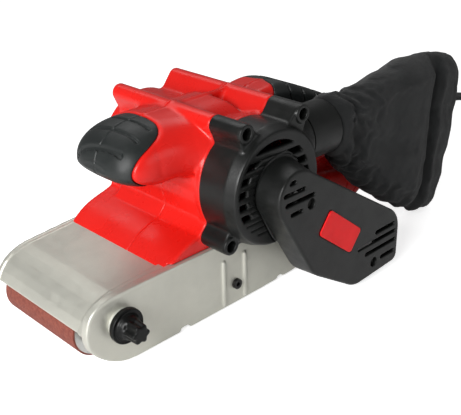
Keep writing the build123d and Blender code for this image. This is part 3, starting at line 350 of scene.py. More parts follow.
def net(values, low, step):
    """Surface net of a sampled field: a vertex in each crossed cell, a quad round each crossed edge."""
    inside = values < 0
    cells = tuple(n - 1 for n in values.shape)
    total = np.zeros(cells, np.int8)
    for di in (0, 1):
        for dj in (0, 1):
            for dk in (0, 1):
                total += inside[di:di + cells[0], dj:dj + cells[1], dk:dk + cells[2]]
    crossed = (total > 0) & (total < 8)
    i, j, k = np.nonzero(crossed)
    index = np.full(cells, -1, np.int64)
    index[i, j, k] = np.arange(len(i))
    corner = {(a, b, c): values[i + a, j + b, k + c] for a in (0, 1) for b in (0, 1) for c in (0, 1)}
    place = np.zeros((len(i), 3))
    count = np.zeros(len(i))
    for a in corner:
        for axis in range(3):
            if a[axis]:
                continue
            b = tuple(1 if n == axis else a[n] for n in range(3))
            fa, fb = corner[a], corner[b]
            hit = (fa < 0) != (fb < 0)
            share = np.where(hit, fa / np.where(hit, fa - fb, 1), 0)
            for n in range(3):
                place[:, n] += np.where(hit, a[n] + (share if n == axis else 0), 0)
            count += hit
    points = (np.stack([i, j, k], 1) + place / count[:, None]) * step + low
    quads = []
    for axis in range(3):
        u, v = [(1, 2), (2, 0), (0, 1)][axis]
        ahead = np.take(inside, range(1, inside.shape[axis]), axis)
        behind = np.take(inside, range(inside.shape[axis] - 1), axis)
        at = np.argwhere(ahead != behind)
        at = at[(at[:, u] > 0) & (at[:, v] > 0) & (at[:, u] < cells[u]) & (at[:, v] < cells[v])]
        du, dv = np.eye(3, dtype=int)[u], np.eye(3, dtype=int)[v]
        ring = [index[tuple((at - s).T)] for s in (du + dv, dv, 0 * du, du)]
        faces = np.stack(ring, 1)
        flip = inside[tuple(at.T)]
        faces[~flip] = faces[~flip][:, ::-1]
        quads.append(faces)
    return points, np.concatenate(quads)


def settle(piece, slot_name, body, replaced):
    """Links a piece, gives it its material, puts it under its body and hides the CAD nodes that it
    replaces.
    """
    scene.collection.objects.link(piece)
    piece.data.materials.append(MATERIALS[slot_name])
    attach(piece, body)
    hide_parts(*replaced)


def carve(name, field, low, high, step, slot_name, body, replaced):
    """Piece with the shape of a distance field, sampled inside a box with two cells to spare."""
    low = np.array(low, float) - 2.03 * step
    counts = [int((b - a) / step) + 5 for a, b in zip(low, high)]
    x, y, z = (low[n] + step * np.arange(counts[n]) for n in range(3))
    values = field(x[:, None, None], y[None, :, None], z[None, None, :])
    values = np.broadcast_to(values, counts).astype(np.float32)
    points, faces = net(values, low, step)
    mesh = bpy.data.meshes.new(name)
    mesh.from_pydata((points * MM).tolist(), [], faces.tolist())
    mesh.validate()
    mesh.update()
    mesh.polygons.foreach_set("use_smooth", [True] * len(mesh.polygons))
    piece = bpy.data.objects.new(name, mesh)
    settle(piece, slot_name, body, replaced)
    return piece


# ------------------------------------------------------------------ cast frame

KNOB = (-83, 31.5)
REAR_AXLE = (84.9, 18.7)
COUNTER_AXLE = (89.82, 37.05)
SHELF_SCREW = (12.7, 16.7)
COVER_SCREWS = [(32, 84.7), (101.5, 15.2)]
DECK_SCREWS = [(-20, -44), (85, -44), (-20, 32), (85, 32)]
TENSION_ROD = (-10, 19)
LEVER_PIN = (-10, 20)
WALL_OUT = -60
WALL_IN = -54
FLOOR_EDGE = 1.6
DECK_FAR = 46
WALL = rounded([(-48, 50.7), (-85, 50.8), (-97, 49), (-104.5, 43.5), (-108, 33), (-107, 23), (-102.5, 16),
                (-94.6, 8.8), (-86, 4), (-77, FLOOR_EDGE), (-60, FLOOR_EDGE), (84.2, FLOOR_EDGE), (102, 9),
                (108.6, 26), (102, 43.5), (84.2, 50.8)], corners=4, reach=0.45)
DECK = [(100, 48.5), (-42, 48.5), (-74, 46), (-80, 45.6), (-86.5, 44.2), (-92.5, 41.8), (-97.5, 38.4),
        (-101.5, 34), (-104.9, 27.4), (-103.1, 26.9), (-99.2, 32.6), (-93, 36.6), (-86, 38.7), (-74, 41.5),
        (92, 41.5), (101, 36), (105.5, 28), (107.5, 28.5), (104.5, 42)]


def casting_solid(x, y, z):
    """Wall beside the belt with its ribs, deck with raised rims and hood, shelf inside the belt loop."""
    wall = outline(x, z, WALL)
    for at, half_foot in ((-33, 4.5), (57, 3.5)):
        notch = np.maximum(np.abs(x - at) - half_foot + 0.5 * (z - FLOOR_EDGE), z - 4.1)
        wall = cut(wall, notch)
    made = prism(wall, y, WALL_OUT, WALL_IN, 0.9)
    deck = outline(x, z, DECK)
    made = union(made, prism(deck, y, WALL_IN - 1, DECK_FAR, 0.5), 1.2)
    for low, high in ((-56, -47), (42.4, DECK_FAR)):
        rim = np.maximum(prism(deck - 1.0, y, low, high, 0.6), 27.5 - z)
        made = union(made, np.where(z > 26.5, rim, 9.0), 0.8)
    shelf = block(x, z, -58, 60, 5, 12)
    made = union(made, prism(shelf, y, WALL_IN - 1, 34, 0.6), 1.0)
    screw_block = block(x, z, 5.7, 19.7, 11, 22.5)
    made = union(made, prism(screw_block, y, WALL_IN - 1, -34, 0.6), 1.0)
    for at in (-18, 30):
        lug = block(x, z, at - 6, at, 11, 25)
        made = union(made, prism(lug, y, -20, 0, 0.6), 1.0)
    made = union(made, prism(disc(x, z, REAR_AXLE, 15), y, WALL_IN - 1, -40, 0.6), 1.0)
    for at in (1.5, 21):
        rib = np.hypot(x - at, np.maximum(np.abs(z - 20.5) - 15.8, 0)) - 1.7
        made = union(made, prism(rib, y, -61.5, -59, 1.2), 0.5)
    return made


def casting(x, y, z):
    """Cast frame with its bearing seats and screw holes."""
    made = casting_solid(x, y, z)
    for at, radius, inner_end in ((REAR_AXLE, 11.1, -52.9), (SHELF_SCREW, 2.1, -32), (KNOB, 5.1, -52.9),
                                  (COVER_SCREWS[1], 1.8, -52.9), (COUNTER_AXLE, 6.05, -52.9)):
        made = cut(made, np.maximum(disc(x, z, at, radius), y - inner_end), 0.2)
    made = cut(made, np.maximum(disc(x, z, REAR_AXLE, 11.1), -47 - y), 0.2)
    made = cut(made, np.maximum(disc(x, z, REAR_AXLE, 7.6), y + 38), 0.2)
    rod = np.hypot(y - TENSION_ROD[0], z - TENSION_ROD[1]) - 4.15
    made = cut(made, np.maximum(rod, np.abs(x - 5) - 36))
    for at, across in DECK_SCREWS:
        shaft = np.hypot(x - at, y - across)
        made = cut(made, np.maximum(shaft - 2.1, 40 - z))
        made = cut(made, np.maximum(shaft - 4.1, np.maximum(40 - z, z - 44.4)))
    pin = np.hypot(x - LEVER_PIN[0], y - LEVER_PIN[1]) - 2.55
    return cut(made, np.maximum(pin, np.maximum(7 - z, z - 13)))


carve("frame_casting", casting, (-109, -62, 1), (109, DECK_FAR + 0.5, 51), 0.85,
      "cast_aluminium", "base", ["base_frame"])

# ------------------------------------------------------------------ red housing

BARREL = (25, 97)
BODY = (24.8, 91.8)
CAP_ROUND = (24.3, 91.1)
BODY_R = 35.9
BORE_R = 34.6
SHOULDER_R = 32.6
RIM_R = 39.8
BOSSES = [(0.4, 132.6), (50.2, 132.5), (-9.6, 60.7), (59.6, 60.7)]
PARTING = -18
NEAR_END = -58
FAR_END = 46
GRIP_LEVEL = 111
GRIP_START = -32
GRIP_LENGTH = 31
GRIP_HALF = 31.5
GRIP_RISE = 24.6
GRIP_DROP = 15.5
BRUSH_Y = 20
LOCK_BUTTON = (108, 110)
CORD_HEIGHT = 60
VENTS = 16
HANDLE = rounded([(54, 122), (61, 132.6), (80, 134.8), (97, 131), (128, 117.4), (160, 101.5), (186, 79),
                  (191.5, 60), (187, 38), (174, 22), (158, 20.5), (110, 31), (106, 48.5), (78, 48.5),
                  (54, 90)])
OPENING = rounded([(80, 98), (92, 101), (118, 88.5), (148, 72.5), (161, 60), (156, 50), (118, 56), (94, 68),
                   (80, 82)])
RUBBER_ZONE = rounded([(84, 142), (84, 132), (83.5, 127), (85, 118), (98, 106), (99, 88), (118, 70),
                       (150, 64), (161, 66), (200, 72), (200, 140)])
LOBE = rounded([(-21.5, 142), (-23.5, 135.5), (-29, 130), (-39.6, 126), (-49, 121.8), (-54.6, 116),
                (-55.6, 110), (-51, 105.4), (-43.4, 101.4), (-34, 97), (-30, 70), (40, 70),
                (40, 142)], corners=4, reach=0.45)
SKIRT = rounded([(-44.5, 46), (-44.8, 48), (-35.6, 55.3), (-26.7, 59.5), (-11.4, 63.6), (-7.8, 65.6),
                 (-10.6, 74), (-12.5, 87), (10, 100), (58, 100), (80, 72), (97, 60), (104, 48),
                 (104, 46)], reach=0.42)
SKIRT_ROOM = [(-37, 44), (-29, 52.4), (-10, 57), (62, 57), (92, 56), (98, 44)]
SWITCH_ROOM = [(94, 121.5), (124, 110.8), (124, 96), (89, 108)]
TRIGGER_SLOT = [(88.5, 108), (96, 110), (123, 101), (123, 76), (90, 84)]


def handle_loop(x, z):
    """Flat field of the loop handle round its finger opening."""
    return cut(outline(x, z, HANDLE), outline(x, z, OPENING))


def swept(x, y):
    """Distance along the loop handle, drawn forward on its sides as its rubber edge and grooves are."""
    return x + 0.45 * np.abs(y - PARTING)


def rubber_zone(x, y, z):
    """Where rubber covers the loop handle, with its edge drawn forward at the sides of the top."""
    side = np.clip((z - 104) / 12, 0, 1)
    return outline(x * (1 - side) + swept(x, y) * side, z, RUBBER_ZONE)


def web(x, z, boss, foot):
    """Flat field of a screw boss flaring down to the motor barrel."""
    reach = math.hypot(boss[0] - BODY[0], boss[1] - BODY[1])
    at = [BODY[n] + (boss[n] - BODY[n]) * 30 / reach for n in (0, 1)]
    return capsule(x, z, (*boss, 6), (*at, foot))


def dome(across, up, power):
    """Superellipse of two shares of its half-width and height: zero on the surface."""
    return (across ** power + up ** power) ** (1 / power) - 1


def taper(along, size, power):
    """Size at a share of the length, rounding off to nothing at the tip."""
    return size * (1 - along ** power) ** (1 / power)


def egg(x, y, z, grow):
    """Front grip: wide and blunt seen from above, domed on top, flatter below."""
    along = np.clip((GRIP_START - x) / (GRIP_LENGTH + grow), 0, 0.9999)
    half = taper(along, GRIP_HALF + grow, 3.4)
    above = taper(along, GRIP_RISE + grow, 2.05)
    below = taper(along, GRIP_DROP + grow, 1.6)
    height = np.where(z > GRIP_LEVEL, above, below)
    across = np.abs((y - PARTING) / np.maximum(half, 0.5))
    up = np.abs((z - GRIP_LEVEL) / np.maximum(height, 0.5))
    ring = dome(across, up, 2.4)
    return np.maximum(ring * np.minimum(half, height), GRIP_START - x - GRIP_LENGTH - grow)


def ease(x, places, values):
    """Interpolation with its corners rounded off."""
    return (np.interp(x - 3, places, values) + 2 * np.interp(x, places, values)
            + np.interp(x + 3, places, values)) / 4


def neck(x, y, z):
    """Loft from the front grip to the front boss tube: a wide dome that flares out towards the cap."""
    near = ease(x, [-62, -56, -50, -44, -36, -28, -20, -12, -4, 4],
                [12, 22, 27, 30.2, 32, 32.8, 34.2, 37, 42, 48])
    far = np.minimum(near, ease(x, [-28, -20, -12, 4], [32.8, 33.4, 34.4, 38]))
    half = np.where(y < PARTING, near, far)
    top = ease(x, [-60, -52, -45, -35, -28, -22, 2], [121, 129, 132.8, 135.3, 135.9, 135.8, 135])
    low = ease(x, [-60, -52, -45, -35, -28, -18, -10, 0], [101, 98.5, 97, 96.5, 96.3, 95.8, 95, 92])
    height = np.where(z > GRIP_LEVEL, top - GRIP_LEVEL, GRIP_LEVEL - low)
    power = np.where(z > GRIP_LEVEL, 2.5, 2.4)
    ring = dome(np.abs((y - PARTING) / half), np.abs((z - GRIP_LEVEL) / height), power)
    return np.maximum(ring * np.minimum(half, height), x - 3)


def shell(x, y, z):
    """Whole red housing before it is split on the parting plane."""
    made = prism(disc(x, z, BODY, BODY_R), y, NEAR_END, FAR_END, 3.0)
    made = union(made, prism(disc(x, z, BARREL, SHOULDER_R), y, NEAR_END, -46.5, 1.0), 3)
    rim = prism(disc(x, z, CAP_ROUND, RIM_R), y, NEAR_END, -53, 0.8)
    made = union(made, rim, 4)
    for boss, far_end in zip(BOSSES, (38, 38, 30, 30)):
        made = union(made, prism(web(x, z, boss, 8), y, NEAR_END, far_end, 1.6), 3.5)
    fin = outline(x, z, [(0, 100), (0, 136.6), (50, 136.6), (60, 120), (40, 100)])
    made = union(made, prism(fin, y, PARTING - 1.8, PARTING + 1.8, 1.2), 3.5)
    collar = common(union(neck(x, y, z), egg(x, y, z, 0.3)), outline(x, z, LOBE), 1.2)
    made = union(made, collar, 2.2)
    made = union(made, prism(outline(x, z, SKIRT), y, -57.6, 44, 1.6), 2.5)
    loop = handle_loop(x, z)
    made = union(made, prism(loop, y, PARTING - 18.5, PARTING + 18.5, 6.5), 6)
    foot = common(loop, z - CORD_HEIGHT)
    made = union(made, prism(foot, y, PARTING - 21.5, PARTING + 21.5, 5.0), 6)
    # The fine bead along the parting plane
    return made - 0.35 * np.clip(1.6 - np.abs(y - PARTING), 0, 1)


def red_half(side):
    """One half shell: hollow, open under the rubber, meeting the other half on a fine raised bead."""
    def field(x, y, z):
        made = shell(x, y, z)
        core = prism(handle_loop(x, z) + 3.2, y, PARTING - 15.5, PARTING + 15.5, 3.0)
        zone = np.maximum(rubber_zone(x, y, z), np.abs(y - PARTING) - 24)
        made = union(cut(made, zone, 0.6), core)
        bore = prism(disc(x, z, BODY, BORE_R), y, NEAR_END - 5, 42, 0.5)
        bore = union(bore, prism(disc(x, z, BARREL, 31.5), y, NEAR_END - 5, -46.8, 0.3))
        made = cut(cut(made, bore), prism(outline(x, z, SKIRT_ROOM), y, -46, 40, 0.5))
        for room, half in ((SWITCH_ROOM, 8.2), (TRIGGER_SLOT, 7)):
            made = cut(made, prism(outline(x, z, room), y, PARTING - half, PARTING + half, 0.3))
        made = cut(made, np.maximum(np.hypot(y - PARTING, z - CORD_HEIGHT) - 8, 166 - x))
        made = cut(made, np.maximum(y + 53.9, z - 50.9))
        for brush_x in (BARREL[0] - 44, BARREL[0] + 44):
            seat = np.maximum(np.hypot(y - BRUSH_Y, z - BARREL[1]) - 8.1, np.abs(x - brush_x) - 12)
            made = cut(made, seat, 0.8)
        if side > 0:
            made = cut(made, np.maximum(disc(x, z, LOCK_BUTTON, 4.3), y + 26))
            return common(made, y - PARTING + 0.03, 0.25)
        for number in range(VENTS):
            u, w = turned(x, z, BODY, number * 360 / VENTS)
            vent = plate(u - 24, w, 7, 1.5, 1.4)
            made = cut(made, np.maximum(vent, 40 - y), 0.4)
        return common(made, PARTING + 0.03 - y, 0.25)
    return field


STEP = 0.9
carve("red_shell_near", red_half(1), (-54, NEAR_END, 20), (192, PARTING, 139), STEP, "red_plastic", "base",
      ["near_housing"])
carve("red_shell_far", red_half(-1), (-54, PARTING, 20), (192, FAR_END + 0.5, 139), STEP, "red_plastic",
      "base", ["far_housing"])


def laminations(x, y, z):
    """Stator pack with its round outside cut back where the housing is waisted."""
    made = common(prism(disc(x, z, BARREL, 34.7), y, -40, 8, 0.4), disc(x, z, BODY, 34.2), 0.3)
    opening = plate(x - BARREL[0], z - BARREL[1], 30.2, 13.2, 0.5)
    made = cut(made, union(disc(x, z, BARREL, 19.7), opening))
    seam = np.abs((y + 40) % 4.0 - 2.0) - 0.35
    return cut(made, np.maximum(seam, -common(disc(x, z, BARREL, 34.2), disc(x, z, BODY, 33.7))), 0.2)


carve("stator_pack", laminations, (-11, -41, 60), (61, 9, 128), STEP, "laminations", "base",
      ["stator_core"])

# ------------------------------------------------------------------ front grip and handle rubber


def front_rubber(x, y, z):
    """Soft bulb with its seam and three finger grooves across the top."""
    made = cut(egg(x, y, z, 0), outline(x, z, LOBE) - 0.25, 0.8)
    made = cut(cut(made, egg(x, y, z, -4)), -26 - x)
    skin = -egg(x, y, z, -0.7)
    made = cut(made, np.maximum(skin, np.abs(y - PARTING) - 0.35), 0.5)
    for at, reach in ((-35.2, 17), (-47.4, 20.5), (-58.2, 18.5)):
        run = np.hypot(x - at + 0.1 * (y - PARTING), np.maximum(np.abs(y - PARTING) - reach, 0)) - 1.1
        made = cut(made, np.maximum(np.maximum(-egg(x, y, z, -1.5), run), 113 - z), 0.8)
    return made


carve("front_grip_rubber", front_rubber, (-62, -46, 89), (-26, 10, 137), STEP * 0.62, "black_rubber",
      "base", ["front_grip"])


def rear_rubber(x, y, z):
    """Soft sleeve on the loop handle, with slanting grooves and a seam along its middle."""
    loop = handle_loop(x, z)
    whole = prism(loop, y, PARTING - 18.8, PARTING + 18.8, 7.0)
    made = common(whole, rubber_zone(x, y, z) + 0.2, 0.8)
    made = cut(made, prism(loop + 3.0, y, PARTING - 15.7, PARTING + 15.7, 3.0))
    for at in (102, 115, 127.5, 140, 152):
        groove = np.abs(swept(x, y) - at + 0.3 * (z - 120)) - 0.9
        made = cut(made, np.maximum(np.maximum(groove, -(whole + 1.5)), 92 - z), 0.9)
    return cut(made, np.maximum(-(loop + 0.7), np.abs(y - PARTING) - 0.4), 0.4)


carve("rear_grip_rubber", rear_rubber, (75, -37, 60), (192, 1.2, 134), STEP * 0.8, "black_rubber", "base",
      ["rear_grip"])

# ------------------------------------------------------------------ motor end cap

CAP_FACE = -88
BOSS_ENDS = (-84.5, -84.5, -80, -80)
OUTLET = (-66, 109.5)
DUCT_ENDS = [28, 62.7]
HUB = (24.3, 92.6)
AIR_ROWS = 7
AIR_PITCH = 8
AIR_FLOOR = -80
SCREW_R = 2.0
RECESS_R = 3.65
RECESS_FLOOR = -66
MOTOR_ROOM = 40.8
FINE_STEP = STEP * 0.72


def cap(x, y, z):
    """Bell over the fan: drafted wall, boss tubes with webs, dust outlet and barred air slots."""
    depth = np.clip((NEAR_END - y) / 30, 0, 1)
    drawn = np.hypot(x - CAP_ROUND[0] + 0.8 * depth, z - CAP_ROUND[1] - 0.8 * depth)
    drawn = drawn - np.interp(-y, [58, 80, 88], [40.3, 39.9, 37.3])
    made = prism(drawn, y, CAP_FACE, NEAR_END, 1.0)
    for boss, end in zip(BOSSES, BOSS_ENDS):
        made = union(made, prism(web(x, z, boss, 9), y, end + 1.5, NEAR_END, 0.8), 2.0)
        made = union(made, prism(disc(x, z, boss, 6), y, end, NEAR_END, 0.5), 1.0)
    duct_y = np.interp(x, DUCT_ENDS, [-70, OUTLET[0]])
    duct_z = np.interp(x, DUCT_ENDS, [107, OUTLET[1]])
    duct = np.hypot(y - duct_y, z - duct_z) - np.interp(x, DUCT_ENDS, [15.0, 18.6])
    duct = common(duct, np.maximum(DUCT_ENDS[0] - x, x - DUCT_ENDS[1]), 0.8)
    room = np.maximum(disc(x, z, BODY, MOTOR_ROOM), NEAR_END - y)
    duct = cut(duct, room)
    duct = cut(duct, np.maximum(web(x, z, BOSSES[1], 9) - 0.6, NEAR_END - y))
    made = union(made, duct, 4.0)
    from_outlet = np.hypot(y - OUTLET[0], z - OUTLET[1])
    spigot = np.maximum(from_outlet - 16.2, np.maximum(62 - x, x - 86))
    made = union(made, cut(spigot, room), 0.3)
    made = cut(made, np.maximum(from_outlet - 13.5, 59 - x))
    made = cut(made, prism(drawn + 2.8, y, -85.2, NEAR_END + 5, 1.0))
    # The air slots: black at their outer ends, fine lines inwards to the groove round the hub
    grid = np.hypot(x - 20.8, z - 92.7) - 30.8
    hub = capsule(x, z, (*HUB, 19.6), (38, 72, 22))
    face = np.maximum(y - CAP_FACE - 0.8, -1.0)
    made = cut(made, np.maximum(np.abs(hub - 1.2) - 0.4, face), 0.3)
    inside = np.maximum(grid, 1.5 - hub)
    for row in range(AIR_ROWS):
        level = 63.8 + row * AIR_PITCH + (0.6 if row else 0)
        if row > 1:
            slit = np.maximum(np.abs(z - level) - 2.1, np.maximum(inside, -6.2 - grid))
            made = cut(made, np.maximum(slit, y - AIR_FLOOR), 0.3)
        edge = np.maximum(np.abs(np.abs(z - level) - 2.1) - 0.3, inside)
        made = cut(made, np.maximum(edge, face), 0.2)
    top_slot = np.maximum(np.maximum(118.6 - z, grid), x - 38)
    made = cut(made, np.maximum(top_slot, y - AIR_FLOOR), 0.3)
    for boss in BOSSES:
        made = cut(made, np.maximum(disc(x, z, boss, RECESS_R), y - RECESS_FLOOR), 0.4)
        made = cut(made, disc(x, z, boss, SCREW_R))
    return made


carve("motor_cap", cap, (-18, -90, 54), (87, -47, 139.5), FINE_STEP, "black_plastic", "base",
      ["motor_end_cap"])

# ------------------------------------------------------------------ drive cover

COVER_FACE = -108
COVER_LOBES = [(20.5, 92.5, 18.5), (57.6, 51.8, 29), (86.3, 25.7, 22.2), (123.5, 12.5, 7),
               (109.5, 32.6, 21)]
BASE_LOBES = [(76, 46, 13.6), (88, 24, 20.1), (123.5, 12.5, 6.6), (109.5, 32.6, 20.6)]
COVER_SLOTS = [((13, 104), (16.5, 104)), ((8.1, 97.2), (25.2, 97.2)), ((9.5, 90.5), (34, 90.5)),
               ((14.4, 83), (22.8, 83)), ((102.8, 38), (122.7, 38)), ((83.5, 31.8), (124.3, 31.8)),
               ((91.9, 24.8), (125, 24.8)), ((110.4, 15.9), (124.2, 15.9))]
LABEL_AT = (62, 54)
LABEL_TURN = -38


def cover(x, y, z):
    """Drive cover: tapered walls, softly rounded face, stepped base, louvres and screw cups."""
    height = CAP_FACE - y
    flat = hull(x, z, COVER_LOBES)
    made = prism(flat + np.clip(height, 0, 20) * 0.05, y, COVER_FACE, CAP_FACE, 1.7)
    cone = np.hypot(x - np.interp(-y, [88, 107], [HUB[0], 20.8]), z - HUB[1])
    cone = cone - np.interp(-y, [88, 107], [19.8, 17.4])
    made = union(made, np.maximum(cone * 0.95, np.maximum(-107 - y, y - CAP_FACE)), 0.8)
    base = prism(hull(x, z, BASE_LOBES), y, CAP_FACE - 1, -60, 0.6)
    motor = union(disc(x, z, BARREL, 42.4), disc(x, z, BODY, 40.9))
    base = cut(base, np.maximum(motor, CAP_FACE + 0.2 - y))
    base = cut(base, np.maximum(disc(x, z, BOSSES[3], 9), CAP_FACE + 0.2 - y))
    made = union(made, base, 0.4)
    inner = np.maximum(flat + 3.4, np.maximum(-105.6 - y, y - CAP_FACE))
    room = np.maximum(hull(x, z, BASE_LOBES) + 2.4, np.maximum(CAP_FACE - y, y + 55))
    room = cut(cut(room, disc(x, z, BARREL, 44.6)), disc(x, z, BOSSES[3], 11.2))
    made = cut(cut(made, inner), room)
    for at in COVER_SCREWS:
        made = union(made, prism(disc(x, z, at, 5), y, -107.4, -102.3, 0.4), 0.6)
        made = cut(made, np.maximum(disc(x, z, at, 3.5), y + 103.7), 0.3)
        made = cut(made, disc(x, z, at, 1.8))
    for start, end in COVER_SLOTS:
        made = cut(made, np.maximum(slot(x, z, start, end, 1.4), y + 104), 0.3)
    u, w = turned(x, z, LABEL_AT, LABEL_TURN)
    return cut(made, np.maximum(plate(u, w, 21.8, 9.8, 3.0), y + 107.6), 0.3)


carve("belt_cover", cover, (1, -108.5, 3), (131, -59.5, 120), FINE_STEP, "black_plastic", "base",
      ["drive_cover"])


def label(x, y, z):
    """Plain plate in the shallow recess of the cover."""
    u, w = turned(x, z, LABEL_AT, LABEL_TURN)
    return prism(plate(u, w, 21, 9, 2.5), y, -108.7, -107.6, 0.3)


carve("label_plate", label, (40, -109, 34), (84, -107, 74), 0.45, "label_film", "base", ["cover_label"])

# ------------------------------------------------------------------ tracking knob


def knob(x, y, z):
    """Slim six-lobed hand-piece rising from a conical hub on a round flange."""
    radius = np.hypot(x - KNOB[0], z - KNOB[1])
    angle = np.arctan2(z - KNOB[1], x - KNOB[0])
    made = prism(radius - 11.5, y, -67.6, -63.1, 1.2)
    made = cut(made, np.maximum(np.abs(radius - 9.6) - 1.0, y + 66.6), 0.4)
    hub = prism((radius - 8.2 - 0.35 * (y + 67)) * 0.9, y, -71, -66, 1.2)
    outer = 6.2 + 0.05 * (y + 67) + 0.75 * np.cos(6 * angle + 0.4)
    grip = prism((radius - outer) * 0.85, y, -80, -66, 1.2)
    made = union(made, union(hub, grip, 1.2), 0.4)
    return cut(made, np.maximum(radius - 3.6, -76 - y))


carve("knob_handpiece", knob, (-95, -81, 19), (-71, -62, 44), 0.5, "knob_plastic", "knob",
      ["tracking_knob"])

# ------------------------------------------------------------------ dust bag

BAG_OUTLINE = rounded([(90, 129), (104, 132), (122, 137), (146, 140.5), (172, 143), (205, 143),
                       (228, 141), (246, 134), (258.5, 120), (258.5, 86), (253, 47), (240, 11), (230, 6),
                       (215, 8), (184, 24), (166.5, 34), (137, 54.8), (103, 82), (90, 91)], corners=4)
BAG_Y = -68
BAG_FRONT = 90.3


def bag_form(x, y, z):
    """Slack pouch: drawn in to the round neck, gathered below, with a deep pleat near its rear edge."""
    gather = np.where(z < 70, 1.3 * np.sin(x / 3.1) + 0.8 * np.sin(x / 1.7 + 1), 0.5 * np.sin(x / 5))
    edge = outline(x, z, BAG_OUTLINE) + gather * np.interp(x, [100, 130, 225, 240], [0, 1, 1, 0])
    inside = np.clip(-edge, 0, 40)
    across = x - (z - 70) * 0.10
    half = np.interp(across, [90, 150, 188, 199, 204, 210, 218, 240, 256],
                     [16.5, 20, 22, 19, 10, 9, 16, 13, 8])
    half = half * np.clip(inside / 14, 0, 1) ** 0.5
    away = np.hypot(x - 84, z - OUTLET[1])
    bend = np.sin(away / 1.7 + 1.3 * np.sin(z / 9) + 0.7 * np.sin(z / 3.7 + x / 15))
    half = half + 0.55 * bend * np.exp(-((away - 38) / 18) ** 2) * (inside > 3)
    slack = (1.1 * np.sin(x / 9 + z / 13) * np.sin(z / 11 - x / 23) + 0.6 * np.sin((x + 2 * z) / 8.5)
             * np.sin((x - z) / 17)) * np.clip(inside / 15, 0, 1)
    pillow = np.maximum(np.abs(y - BAG_Y) - half - slack, edge)
    neck_tube = np.maximum(np.hypot(y - OUTLET[0], z - OUTLET[1]) - 18.4, x - 104)
    made = union(pillow * 0.7, neck_tube, 8)
    return np.maximum(made, BAG_FRONT - x)


CLOTH_FRAMES = 22
CLOTH_REACH = 0.007


def wrinkle(piece, pinned_to):
    """Cloth simulation of the pouch: more cloth than the form needs, a little pressure, the neck held."""
    mesh = piece.data
    places = np.zeros(len(mesh.vertices) * 3)
    mesh.vertices.foreach_get("co", places)
    start = places.reshape(-1, 3).copy()
    held = piece.vertex_groups.new(name="held")
    for index, place in enumerate(start):
        if place[0] < pinned_to:
            held.add([index], 1.0, "REPLACE")
    cloth = piece.modifiers.new("cloth", "CLOTH")
    settings = cloth.settings
    settings.quality = 7
    settings.mass = 0.15
    settings.tension_stiffness = 12
    settings.compression_stiffness = 8
    settings.shear_stiffness = 3
    settings.bending_stiffness = 0.02
    settings.air_damping = 4
    settings.vertex_group_mass = "held"
    settings.use_pressure = True
    settings.uniform_pressure_force = 0.5
    settings.shrink_min = -0.14
    settings.effector_weights.gravity = 0.25
    cloth.collision_settings.use_self_collision = True
    cloth.collision_settings.self_distance_min = 0.0012
    for number in range(1, CLOTH_FRAMES + 1):
        scene.frame_set(number)
    graph = bpy.context.evaluated_depsgraph_get()
    shape = piece.evaluated_get(graph).to_mesh()
    shape.vertices.foreach_get("co", places)
    piece.evaluated_get(graph).to_mesh_clear()
    moved = places.reshape(-1, 3) - start
    reach = np.linalg.norm(moved, axis=1, keepdims=True)
    moved *= CLOTH_REACH * np.tanh(reach / CLOTH_REACH) / np.maximum(reach, 1e-9)
    piece.modifiers.remove(cloth)
    scene.frame_set(1)
    mesh.vertices.foreach_set("co", (start + moved).ravel())
    mesh.update()


bag = carve("dust_bag_cloth", bag_form, (90, -94, 1.5), (260, -42, 144.5), 2.6,
            "bag_fabric", "bag", ["dust_bag"])
wrinkle(bag, 0.100)
smooth = bag.modifiers.new("smooth", "SUBSURF")
smooth.levels = smooth.render_levels = 1

# ------------------------------------------------------------------ mains lead

CORD_ROUTE = [(205, -18, 60), (262, -17.5, 59.5), (318, -12, 56.5), (370, -3, 49), (412, 5, 35),
              (446, 10, 22), (476, 11, 14), (503, 2, 12.5)]
TAIL_ROUTE = [(494, -81.5, 12), (470.5, -94.6, 13)]
COIL_AT = (475, -32)
COIL_MEAN = 44
COIL_LOW = 5.3
COIL_TURNS = 6
LAYER_TURNS = 3
TURN_STEPS = 16
CORD_R = 4


def lead_curve(name, points, slot_name, replaced):
    """Round lead on one smooth curve that its route's points control."""
    data = bpy.data.curves.new(name, "CURVE")
    data.dimensions = "3D"
    data.bevel_depth = CORD_R * MM
    data.bevel_resolution = 6
    data.use_fill_caps = True
    data.resolution_u = 8
    spline = data.splines.new("NURBS")
    spline.points.add(len(points) - 1)
    for control, place in zip(spline.points, points):
        control.co = (*(Vector(place) * MM), 1)
    spline.order_u = 3
    spline.use_endpoint_u = True
    piece = bpy.data.objects.new(name, data)
    settle(piece, slot_name, "base", replaced)
    return piece


def coil_points():
    """Turns beside each other in each of two layers, from the route's end to the tail."""
    start = math.atan2(CORD_ROUTE[-1][1] - COIL_AT[1], CORD_ROUTE[-1][0] - COIL_AT[0])
    end = math.atan2(TAIL_ROUTE[0][1] - COIL_AT[1], TAIL_ROUTE[0][0] - COIL_AT[0])
    turns = COIL_TURNS - (start - end) / (2 * math.pi)
    steps = COIL_TURNS * TURN_STEPS
    points = []
    for step in range(steps + 1):
        share = step / steps
        angle = start - share * turns * 2 * math.pi
        lap = share * COIL_TURNS
        layer = 1 if lap < LAYER_TURNS else 0
        across = (lap % LAYER_TURNS) - 1 if layer else 1 - (lap % LAYER_TURNS)
        ring = COIL_MEAN + max(-1, min(1, across)) * 2 * CORD_R
        height = COIL_LOW + layer * 2 * CORD_R
        points.append((COIL_AT[0] + ring * math.cos(angle), COIL_AT[1] + ring * math.sin(angle), height))
    return points


lead = lead_curve("mains_lead", CORD_ROUTE + coil_points()[1:-1] + TAIL_ROUTE, "cord_rubber",
                  ["power_cord", "cord_coil"])

# ------------------------------------------------------------------ table, light and world

AIM = Vector((0.03, -0.02, 0.06))
FLOOR_HALF = 6
FLOOR_GAP = 0.0004


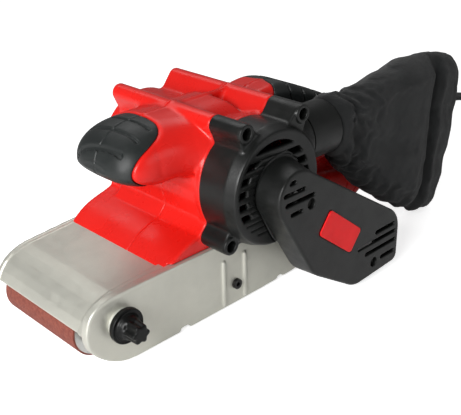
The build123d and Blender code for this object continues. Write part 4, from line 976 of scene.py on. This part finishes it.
def only_seen(tree, socket, elsewhere, seen):
    """A stage brightness that the camera sees, and another that lights the object."""
    rays = node(tree, "ShaderNodeLightPath")
    level = ramp(tree, rays.outputs["Is Camera Ray"], 0.0, 1.0, elsewhere, seen)
    tree.links.new(level, socket)


def add_floor():
    """White table just below the lowest CAD node."""
    floor_z = min(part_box(name)[0][2] for name in frame["nodes"]) - FLOOR_GAP
    mesh = bpy.data.meshes.new("floor")
    corners = [(x * FLOOR_HALF, y * FLOOR_HALF, floor_z) for x, y in ((-1, -1), (1, -1), (1, 1), (-1, 1))]
    mesh.from_pydata(corners, [], [(0, 1, 2, 3)])
    floor = bpy.data.objects.new("floor", mesh)
    scene.collection.objects.link(floor)
    white = finish("table_white", (0.93, 0.93, 0.93), 0.6, second=(0.92, 0.92, 0.92),
                   grain=(50, 0.02, 0.0001))
    shader = white.node_tree.nodes["Principled BSDF"]
    only_seen(white.node_tree, shader.inputs["Emission Strength"], 0.05, 0.7)
    shader.inputs["Emission Color"].default_value = (1, 1, 1, 1)
    mesh.materials.append(white)


def add_light(name, place, size, power):
    """White rectangular softbox that faces the middle of the object."""
    data = bpy.data.lights.new(name, "AREA")
    data.shape = "RECTANGLE"
    data.size, data.size_y = size
    data.energy = power
    lamp = bpy.data.objects.new(name, data)
    scene.collection.objects.link(lamp)
    lamp.location = place
    lamp.rotation_euler = (AIM - Vector(place)).to_track_quat("-Z", "Y").to_euler()


def add_world():
    """White surroundings, dimmer for the object than for the camera."""
    world = bpy.data.worlds.new("studio")
    scene.world = world
    world.use_nodes = True
    background = world.node_tree.nodes["Background"]
    background.inputs["Color"].default_value = (1, 1, 1, 1)
    only_seen(world.node_tree, background.inputs["Strength"], 0.22, 1.0)


add_floor()
add_light("softbox_top", (0.3, 0.6, 1.05), (1.0, 0.5), 3.3)
add_light("softbox_left", (-1.0, -0.35, 0.55), (0.6, 0.6), 17)
add_light("softbox_right", (0.5, -1.1, 0.35), (0.6, 0.5), 1.2)
add_world()
scene.view_settings.view_transform = "Standard"
